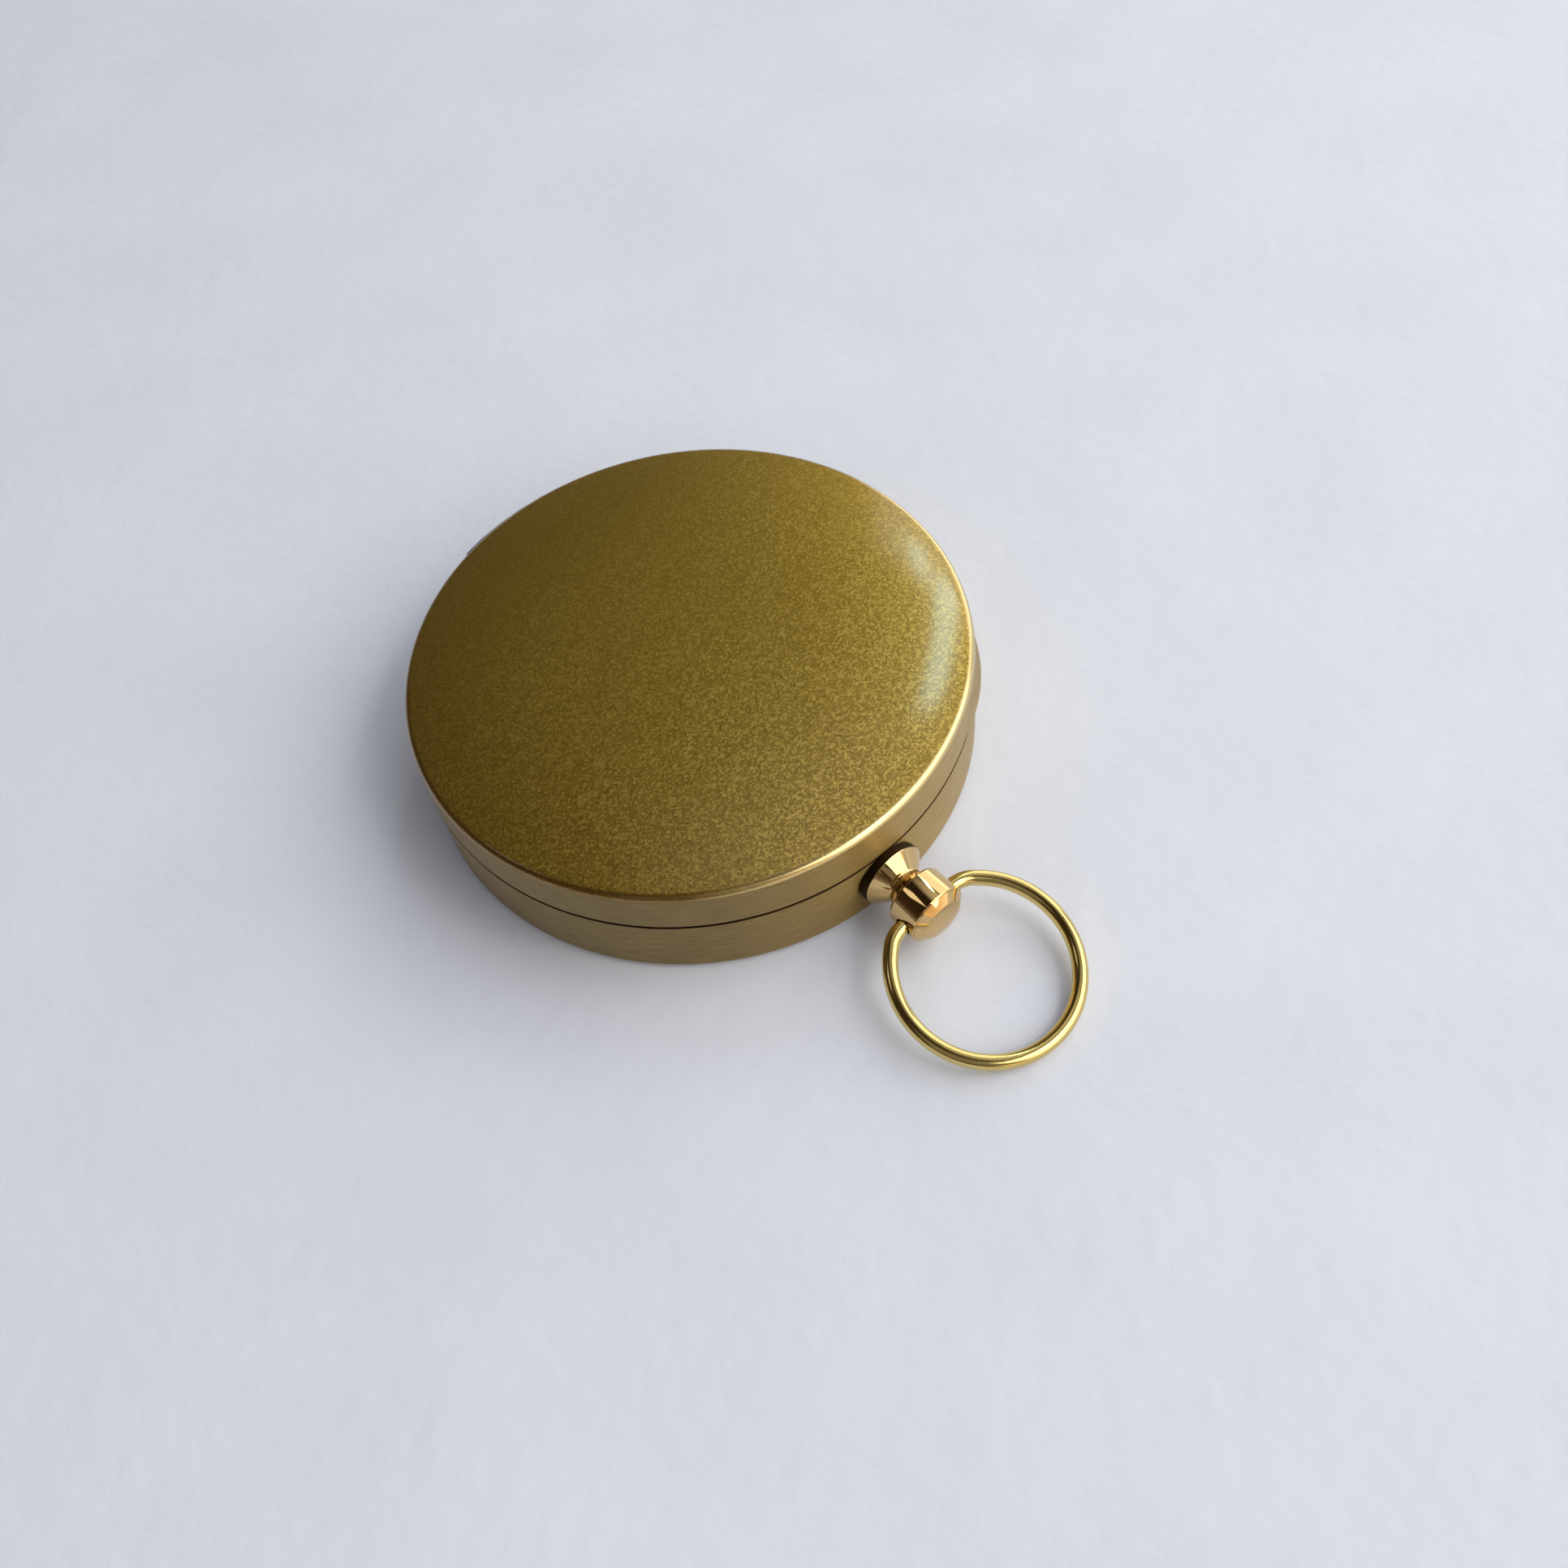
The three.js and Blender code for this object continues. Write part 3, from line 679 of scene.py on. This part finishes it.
# %% [markdown]
# ## Finishes
# Every finish is a node tree. `Bench` keeps the wiring short: it adds nodes by their type and feeds
# each socket with a number, a colour or another node's output. The room's light uses it later as well.

# %% Helper for node trees
class Bench:
    """A node tree, with short ways to add nodes and wire them."""

    def __init__(self, tree):
        self.tree = tree

    def add(self, kind, **settings):
        node = self.tree.nodes.new(kind)
        for name, value in settings.items():
            setattr(node, name, value)
        return node

    def link(self, output, socket):
        self.tree.links.new(output, socket)

    def feed(self, socket, value):
        if isinstance(value, (int, float)):
            socket.default_value = value
        elif isinstance(value, tuple):
            socket.default_value = (*value, 1)
        else:
            self.link(value, socket)

    def math(self, operation, first, second=0.0):
        node = self.add("ShaderNodeMath", operation=operation)
        self.feed(node.inputs[0], first)
        self.feed(node.inputs[1], second)
        return node.outputs[0]

    def split(self, vector):
        """The X, Y and Z of a vector."""
        node = self.add("ShaderNodeSeparateXYZ")
        self.link(vector, node.inputs[0])
        return node.outputs

    def span(self, value, low, high, bottom=0.0, top=1.0, curve="LINEAR"):
        """Maps low to bottom and high to top, and stops there."""
        node = self.add("ShaderNodeMapRange", interpolation_type=curve)
        ends = {"From Min": low, "From Max": high, "To Min": bottom, "To Max": top}
        for name, number in ends.items():
            node.inputs[name].default_value = number
        self.link(value, node.inputs["Value"])
        return node.outputs["Result"]

    def ramp(self, value, *stops):
        node = self.add("ShaderNodeValToRGB")
        while len(node.color_ramp.elements) < len(stops):
            node.color_ramp.elements.new(0.5)
        for element, (position, colour) in zip(node.color_ramp.elements, stops):
            element.position = position
            element.color = (*colour, 1)
        self.link(value, node.inputs["Fac"])
        return node.outputs["Color"]

    def blend(self, share, first, second, mode="MIX"):
        """Mixes two colours; sockets 6 and 7 of the Mix node are its colour inputs."""
        node = self.add("ShaderNodeMix", data_type="RGBA", blend_type=mode)
        self.feed(node.inputs["Factor"], share)
        self.feed(node.inputs[6], first)
        self.feed(node.inputs[7], second)
        return node.outputs[2]


print("helper:", Bench.__name__)

# %% [markdown]
# A `Finish` is a bench with one Principled shader and the patterns that metal and paint need. All
# patterns read object coordinates in metres, so a grain of a fifth of a millimetre is a noise with a
# scale of five thousand.

# %% Helper for finishes
class Finish(Bench):
    """A material with one Principled shader."""

    def __init__(self, name, metallic, roughness):
        self.material = bpy.data.materials.new(name)
        self.material.use_nodes = True
        super().__init__(self.material.node_tree)
        self.shader = self.tree.nodes["Principled BSDF"]
        self.set(Metallic=metallic, Roughness=roughness)
        self.place = self.add("ShaderNodeTexCoord").outputs["Object"]

    def set(self, **values):
        for name, value in values.items():
            self.shader.inputs[name.replace("_", " ")].default_value = value

    def colour(self, output):
        self.link(output, self.shader.inputs["Base Color"])

    def rough(self, output):
        self.link(output, self.shader.inputs["Roughness"])

    def bump(self, height, strength, depth):
        node = self.add("ShaderNodeBump")
        node.inputs["Strength"].default_value = strength
        node.inputs["Distance"].default_value = depth
        self.link(height, node.inputs["Height"])
        self.link(node.outputs["Normal"], self.shader.inputs["Normal"])

    def noise(self, scale, detail, where=None):
        node = self.add("ShaderNodeTexNoise")
        node.inputs["Scale"].default_value = scale
        node.inputs["Detail"].default_value = detail
        self.link(where or self.place, node.inputs["Vector"])
        return node.outputs["Fac"]

    def flakes(self, scale):
        """A random value for each small cell of space, from 0 to 1."""
        cells = self.add("ShaderNodeTexVoronoi")
        cells.inputs["Scale"].default_value = scale
        self.link(self.place, cells.inputs["Vector"])
        parts = self.add("ShaderNodeSeparateColor")
        self.link(cells.outputs["Color"], parts.inputs[0])
        return parts.outputs[0]

    def reach(self):
        """Distance from the Z axis."""
        x, y, _ = self.split(self.place)
        return self.math("SQRT", self.math("ADD", self.math("MULTIPLY", x, x), self.math("MULTIPLY", y, y)))

    def round_lines(self, along, across):
        """Coordinates for lines that run round the Z axis, on walls and on flat faces alike."""
        x, y, z = self.split(self.place)
        turn = self.math("ARCTAN2", y, x)
        join = self.add("ShaderNodeCombineXYZ")
        self.link(self.math("MULTIPLY", turn, along), join.inputs[0])
        self.link(self.math("MULTIPLY", self.math("ADD", self.reach(), z), across), join.inputs[1])
        return join.outputs[0]


print("helper:", Finish.__name__)

# %% [markdown]
# ## Satin gold on the lid's top
# The lid's top is covered with a gold lacquer full of fine metal flakes under a clear coat. From a hand's
# breadth away, the flakes show as a fine bright speckle. A Voronoi texture makes them: it fills space with
# tiny cells and gives each one a random tone between olive and pale gold. A fine noise tilts the surface a
# little, so that single grains flash. The speckle fades towards the hinge. Round the edge the colour is a
# painted shade of dark brown, and beside the thumbnail lip it is a painted highlight of bright, less rough
# brass.

# %% Satin gold
OLIVE = (0.265, 0.163, 0.020)
GOLD = (0.44, 0.283, 0.040)
PALE_GOLD = (0.80, 0.57, 0.127)
CALM_GOLD = (0.45, 0.29, 0.042)
DEEP_GOLD = (0.40, 0.24, 0.031)
EDGE_SHADE_BROWN = (0.20, 0.105, 0.022)
HIGHLIGHT_BRASS = (0.68, 0.52, 0.22)
FLAKE_SCALE = 6800
GRAIN_SCALE = 4500
CLOUD_SCALE = 90
# Middle of the stretch of edge with the painted highlight, as a direction in X and Y
HIGHLIGHT_X = 0.545
HIGHLIGHT_Y = -0.839
satin = Finish("satin_gold", 1.0, 0.42)
x, y, _ = satin.split(satin.place)
gold = satin.ramp(satin.flakes(FLAKE_SCALE), (0.0, OLIVE), (0.5, GOLD), (1.0, PALE_GOLD))
gold = satin.blend(satin.span(y, -0.018, 0.018, 0.0, 0.75), gold, CALM_GOLD)
gold = satin.blend(satin.span(satin.noise(CLOUD_SCALE, 3.0), 0.3, 0.7, 0.0, 0.25), gold, DEEP_GOLD)
toward_highlight = satin.math("ADD", satin.math("MULTIPLY", x, HIGHLIGHT_X), satin.math("MULTIPLY", y, HIGHLIGHT_Y))
edge = satin.span(satin.reach(), 0.02195, 0.02215)
# Painted highlight: bright, less rough brass on the stretch of edge beside the lip
worn = satin.math("MULTIPLY", edge, satin.span(toward_highlight, 0.007, 0.013))
# Painted shade: the rest of the edge turns dark brown
edge_shade = satin.math("MULTIPLY", satin.math("SUBTRACT", edge, worn), 0.75)
gold = satin.blend(edge_shade, gold, EDGE_SHADE_BROWN)
satin.colour(satin.blend(worn, gold, HIGHLIGHT_BRASS))
satin.rough(satin.span(worn, 0.0, 1.0, 0.43, 0.26))
grain = satin.noise(GRAIN_SCALE, 1.6)
satin.bump(satin.math("MULTIPLY", grain, satin.span(worn, 0.0, 1.0, 1.0, 0.25)), 0.2, 0.00005)
satin.set(Coat_Weight=1.0, Coat_Roughness=0.11)
top_gold = satin.material
print("made", top_gold.name)

# %% [markdown]
# ## Brushed brass on the walls
# The walls were brushed while the case turned, so fine lines run round them. Polar coordinates make the
# noise long in the direction of turning and very short across it. Such lines also stretch a highlight
# across them, and the shader's Anisotropic value does the same. A thin lacquer over the walls adds a pale
# sheen where they turn away from the eye. The inside has the lines without the stretch and the lacquer.

# %% Brushed brass
def brushed_brass(name, first, second, roughness, stretch, lacquer):
    brushed = Finish(name, 1.0, roughness)
    lines = brushed.noise(1.0, 4.0, brushed.round_lines(9, 9000))
    patches = brushed.noise(160, 2.0)
    tone = brushed.ramp(lines, (0.3, first), (0.7, second))
    brushed.colour(brushed.blend(brushed.span(patches, 0.35, 0.7, 0, 0.3), tone, first))
    brushed.rough(brushed.span(lines, 0.3, 0.7, roughness + 0.06, roughness - 0.06))
    brushed.bump(lines, 0.12, 0.00002)
    brushed.set(Anisotropic=stretch, Anisotropic_Rotation=0.25, Coat_Weight=lacquer, Coat_Roughness=0.25)
    print("made", name)
    return brushed.material


wall_brass = brushed_brass("brushed_brass", (0.265, 0.183, 0.060), (0.412, 0.292, 0.102), 0.52, 0.8, 0.35)
inner_brass = brushed_brass("spun_brass", (0.60, 0.45, 0.20), (0.74, 0.58, 0.30), 0.24, 0.0, 0.0)

# %% [markdown]
# ## Polished brass and bare metals
# The pendant is polished, with a rosy tone, and the ring is a greener brass. Polished metal still has
# hairline scratches and a faint haze, which keep its reflections from looking like computer chrome.

# %% Polished metals
def polished_metal(name, tone, worn, roughness, haze=0.06):
    metal = Finish(name, 1.0, roughness)
    smudge = metal.noise(420, 3.0)
    hairs = metal.noise(2600, 3.0)
    metal.colour(metal.blend(metal.span(smudge, 0.35, 0.75, 0, 0.6), tone, worn))
    metal.rough(metal.span(smudge, 0.3, 0.75, roughness, roughness + haze))
    metal.bump(hairs, 0.03, 0.00001)
    print("made", name)
    return metal.material


rose_brass = polished_metal("rose_brass", (0.70, 0.49, 0.22), (0.62, 0.42, 0.17), 0.05, 0.03)
ring_brass = polished_metal("ring_brass", (0.74, 0.58, 0.22), (0.64, 0.48, 0.16), 0.15)
# Painted shade: a near-black finish for the faces in the seam and on the flange's rim, where the gaps lie
# in shadow
painted_seam_shade = polished_metal("painted_seam_shade", (0.042, 0.025, 0.011), (0.07, 0.041, 0.017), 0.5)
bezel_brass = polished_metal("bezel_brass", (0.82, 0.62, 0.28), (0.74, 0.54, 0.22), 0.12)
bare_steel = polished_metal("bare_steel", (0.62, 0.63, 0.65), (0.50, 0.51, 0.53), 0.24)
blue_steel = polished_metal("blue_steel", (0.035, 0.07, 0.22), (0.05, 0.10, 0.28), 0.24)

# %% [markdown]
# ## Paint, ink, glass and rubber
# The dial is matt off-white enamel, the degree ring black enamel, and the needle's north arm carries a
# red inlay. These finishes are not metal: their detail is a fine orange-peel bump and slight changes of
# tone. The glass lets light through, with a trace of smudges in its roughness.

# %% Enamels, glass, rubber and jewel
def enamel(name, tone, worn, roughness):
    coat = Finish(name, 0.0, roughness)
    peel = coat.noise(1800, 3.0)
    mottle = coat.noise(300, 3.0)
    coat.colour(coat.blend(coat.span(mottle, 0.3, 0.75), tone, worn))
    coat.rough(coat.span(peel, 0.3, 0.7, roughness - 0.05, roughness + 0.08))
    coat.bump(peel, 0.08, 0.00002)
    print("made", name)
    return coat.material


dial_enamel = enamel("dial_enamel", (0.80, 0.78, 0.71), (0.76, 0.73, 0.64), 0.45)
black_enamel = enamel("black_enamel", (0.012, 0.012, 0.014), (0.022, 0.021, 0.02), 0.38)
red_inlay = enamel("red_inlay", (0.62, 0.045, 0.03), (0.52, 0.03, 0.02), 0.4)
seal_rubber = enamel("seal_rubber", (0.02, 0.02, 0.022), (0.035, 0.035, 0.036), 0.8)
jewel_stone = enamel("jewel_stone", (0.45, 0.02, 0.06), (0.36, 0.015, 0.05), 0.12)

glass = Finish("crystal_glass", 0.0, 0.02)
glass.set(Base_Color=(0.97, 0.985, 0.98, 1), Transmission_Weight=1.0, IOR=1.5)
glass.rough(glass.span(glass.noise(220, 4.0), 0.45, 0.8, 0.0, 0.05))
print("made", glass.material.name)

# %% [markdown]
# ## Dressing the pieces
# Most pieces wear one finish. The lid wears four: satin gold on its top, brushed brass on its wall, a
# near-black painted shade on its lower rim in the seam, and spun brass inside. A face's own height and
# direction say which, so the border runs exactly along the rounded edge. The base wears three of them in
# the same way, with the painted shade on its top rim in the seam, and the pendant's flange has a painted
# shadow on its rim where it meets the wall.

# %% Dress the lid
# How far a face looks up, as the Z of its normal
LEVEL_UP = 0.97
ROUND_UP = 0.26
SLANT = 0.3


def wear(piece, *materials):
    """Gives a piece its finishes; a face picks one by its place in the list."""
    piece.data.materials.clear()
    for material in materials:
        piece.data.materials.append(material)


wear(lid_cover, top_gold, wall_brass, painted_seam_shade, inner_brass)
for face in lid_cover.data.polygons:
    middle = face.center / MM
    reach = math.hypot(middle.x, middle.y)
    outward = face.normal.x * middle.x + face.normal.y * middle.y > 0
    rounded = outward and face.normal.z > ROUND_UP and middle.z > edge_z
    if face.normal.z > LEVEL_UP or rounded:
        face.material_index = 0
    elif outward and reach > RIM_IN_R + 0.5 and face.normal.z > -SLANT:
        face.material_index = 1
    # Painted shade: the lid's lower rim in the seam
    elif reach > RIM_IN_R - 0.05 and middle.z < LID_Z + 0.1:
        face.material_index = 2
    else:
        face.material_index = 3
print("dressed", lid_cover.name)

# %% Dress the base and the pendant
wear(base_case, wall_brass, painted_seam_shade, inner_brass)
for face in base_case.data.polygons:
    middle = face.center / MM
    reach = math.hypot(middle.x, middle.y)
    # Painted shade: the base's top rim in the seam
    if middle.z > BASE_H - 0.1 and face.normal.z > SLANT:
        face.material_index = 1
    elif reach < RIM_IN_R + 0.1 and middle.z > 0.5:
        face.material_index = 2
wear(pendant_turned, rose_brass, painted_seam_shade)
for face in pendant_turned.data.polygons:
    middle = face.center / MM
    reach = math.hypot(middle.x, middle.z - PEND_Z)
    # Painted shadow: the flange's rim, where it meets the wall
    if reach > FLANGE_R - 0.05 and -middle.y < FLANGE_END - TURNED_EDGE:
        face.material_index = 1
print("dressed", base_case.name, "and", pendant_turned.name)

# %% Dress the other pieces
ONE_FINISH = [
    (pendant_end, rose_brass),
    (wire_bow, ring_brass),
    (bezel_turned, bezel_brass),
    (glass_lens, glass.material),
    (dial_face, dial_enamel),
    (slope_scale, dial_enamel),
    (degree_ring, black_enamel),
    (dial_scale, black_enamel),
    (dial_words, black_enamel),
    (stars["star_dark"], black_enamel),
    (stars["star_light"], bezel_brass),
]
for piece, material in ONE_FINISH:
    wear(piece, material)
SMALL_FINISH = {
    "blued_steel": blue_steel,
    "lume": red_inlay,
    "brushed_brass": wall_brass,
    "polished_brass": bezel_brass,
    "jewel": jewel_stone,
    "steel": bare_steel,
    "gasket": seal_rubber,
}
for node, _, slot, _ in EASED:
    wear(small_parts[node], SMALL_FINISH[slot])
print("dressed", len(ONE_FINISH) + len(EASED), "more pieces")

# %% [markdown]
# ## The table, the light and the camera
# The photograph was taken on white paper beside a window, in a room that is darker above. A large plane
# with a faint paper texture is the table. Far from the compass it glows a little, so that it fades into a
# pale backdrop in low views.

# %% Paper table
TABLE_HALF_M = 12.0
FADE_FROM_M = 0.35
FADE_TO_M = 1.4
FAR_GLOW = 0.45
floor_shape = bmesh.new()
bmesh.ops.create_grid(floor_shape, x_segments=4, y_segments=4, size=TABLE_HALF_M)
floor = finish_mesh("paper_table", floor_shape)
paper = Finish("paper", 0.0, 0.75)
fibre = paper.noise(500, 3.0)
sheet_tone = paper.noise(60, 4.0)
paper.colour(paper.ramp(sheet_tone, (0.3, (0.695, 0.72, 0.77)), (0.7, (0.735, 0.76, 0.805))))
paper.bump(fibre, 0.4, 0.0002)
paper.set(Specular_IOR_Level=0.2, Emission_Color=(0.82, 0.85, 0.90, 1))
far_glow = paper.span(paper.reach(), FADE_FROM_M, FADE_TO_M, 0.0, FAR_GLOW)
paper.link(far_glow, paper.shader.inputs["Emission Strength"])
wear(floor, paper.material)
print("table", 2 * TABLE_HALF_M, "m wide")

# %% [markdown]
# The world is the room: pale at eye level on one side, dim on the other and overhead, which gives polished
# edges their dark lines. One soft glow high up lights the far half of the lid. Each colour ramp reads the
# height of the direction that is looked at, and a dot product says how near that direction is to another.

# %% Sides of the room
VIEW_TURN = -32.9
DIM_SIDE = [
    (0.0, (0.30, 0.28, 0.27)),
    (0.20, (0.10, 0.075, 0.055)),
    (0.34, (0.05, 0.033, 0.020)),
    (0.8, (0.03, 0.019, 0.011)),
]
PALE_SIDE = [
    (0.0, (0.84, 0.87, 0.92)),
    (0.20, (0.55, 0.57, 0.61)),
    (0.34, (0.11, 0.09, 0.07)),
    (0.8, (0.03, 0.022, 0.015)),
]


def toward(azimuth, elevation):
    """A direction, with the azimuth counted from the camera's right, in degrees."""
    a = math.radians(azimuth + VIEW_TURN)
    e = math.radians(elevation)
    return Vector((math.cos(e) * math.cos(a), math.cos(e) * math.sin(a), math.sin(e)))


print("the camera's right is", [round(v, 2) for v in toward(0, 0)])

# %% World
PALE_AZIMUTH = 40
GLOW_AZIMUTH = 58
GLOW_ELEVATION = 67
GLOW_RADIUS = math.radians(24)
GLOW_COLOUR = (0.62, 0.60, 0.57)
world = bpy.data.worlds.new("room")
scene.world = world
world.use_nodes = True
room = Bench(world.node_tree)
sight = room.add("ShaderNodeTexCoord").outputs["Generated"]
height = room.split(sight)["Z"]


def nearness(azimuth, elevation):
    """Cosine of the angle between the direction looked at and the one given."""
    node = room.add("ShaderNodeVectorMath", operation="DOT_PRODUCT")
    node.inputs[1].default_value = toward(azimuth, elevation)
    room.link(sight, node.inputs[0])
    return node.outputs["Value"]


pale_share = room.span(nearness(PALE_AZIMUTH, 0), -0.3, 0.5)
light = room.blend(pale_share, room.ramp(height, *DIM_SIDE), room.ramp(height, *PALE_SIDE))
glow_share = room.span(nearness(GLOW_AZIMUTH, GLOW_ELEVATION), math.cos(GLOW_RADIUS),
                       math.cos(GLOW_RADIUS / 8), curve="SMOOTHSTEP")
light = room.blend(glow_share, light, GLOW_COLOUR, "ADD")
room.link(light, world.node_tree.nodes["Background"].inputs["Color"])
print("made", world.name, "with", len(world.node_tree.nodes), "nodes")

# %% [markdown]
# A wide lamp is the window. Two small ones make the pale patches near the lid's right rim, and a low, warm
# one gilds the walls. The others are bright parts of the room that the rim and the pendant mirror, apart
# from three that only soften the shadows and are hidden from reflections. Sizes are given as angles, and
# each lamp's power follows from its area, so that brightness means the same for large and small ones.

# %% Lamps
LAMP_DISTANCE = 0.9
WARM = (1.0, 0.98, 0.95)
COOL = (0.72, 0.78, 1.0)
SKY = (0.66, 1.0, 0.94)
AMBER = (1.0, 0.70, 0.36)
# Name, azimuth, elevation, width and height in degrees, brightness, tint, seen in reflections
LAMPS = [
    ("window", -18, 36, 70, 44, 2.75, WARM, True),
    ("bright_pane", -27, 55, 9, 9, 8.0, WARM, True),
    ("pale_wall", 50, 26, 40, 44, 1.5, WARM, True),
    ("upper_pane", 70.8, 43.3, 1.8, 3.6, 7.0, SKY, True),
    ("long_pane", 66.4, 50.0, 3.0, 11.5, 7.4, SKY, True),
    ("front_room", -95, 40, 60, 40, 0.2, WARM, True),
    ("strip", 172, 54, 10, 14, 1.2, WARM, True),
    ("bounce", 80, 68, 60, 60, 0.3, COOL, False),
    ("right_fill", 0, 62, 25, 25, 1.8, COOL, False),
    ("front_bounce", -95, 45, 60, 40, 0.55, COOL, False),
    ("warm_side", -45, 9, 66, 17, 0.85, AMBER, True),
]
for name, azimuth, elevation, wide, tall, brightness, tint, mirrored in LAMPS:
    lamp = bpy.data.lights.new(name, "AREA")
    lamp.shape = "RECTANGLE"
    lamp.size = 2 * LAMP_DISTANCE * math.tan(math.radians(wide / 2))
    lamp.size_y = 2 * LAMP_DISTANCE * math.tan(math.radians(tall / 2))
    lamp.energy = math.pi * lamp.size * lamp.size_y * brightness
    lamp.color = tint
    holder = bpy.data.objects.new(name, lamp)
    away = toward(azimuth, elevation)
    turn = away.to_track_quat("Z", "Y").to_matrix().to_4x4()
    holder.matrix_world = Matrix.Translation(away * LAMP_DISTANCE) @ turn
    holder.visible_glossy = mirrored
    scene.collection.objects.link(holder)
    print(name, round(lamp.energy, 2), "W")

# %% [markdown]
# The camera's place was solved from the circles of the lid's edge and the seam, in units of the radius of
# the lid's edge. It looks down steeply, from the left of the pendant, and is rolled a little, as a phone in
# a hand is.

# %% Camera
PITCH = math.radians(55.4)
ROLL = math.radians(-9.9)
HEADING = math.radians(VIEW_TURN)
EDGE_R = 22.41
AIM = Vector((0.257, -0.313, 0)) * EDGE_R * MM
DISTANCE = 5.681 * EDGE_R * MM
forward = Vector((0, math.cos(PITCH), -math.sin(PITCH)))
right = Vector((1, 0, 0))
upward = right.cross(forward)
level = math.cos(ROLL) * right + math.sin(ROLL) * upward
upright = math.cos(ROLL) * upward - math.sin(ROLL) * right
seat = Matrix((level, upright, -forward)).transposed().to_4x4()
seat.translation = AIM - forward * DISTANCE
lens = bpy.data.cameras.new("camera")
lens.sensor_width = 36
lens.lens = 36
lens.clip_start = 0.005
camera = bpy.data.objects.new("camera", lens)
camera.matrix_world = Matrix.Rotation(HEADING, 4, "Z") @ seat
scene.collection.objects.link(camera)
scene.camera = camera
scene.view_settings.view_transform = "Standard"
print("camera at", [round(v, 4) for v in camera.matrix_world.translation])
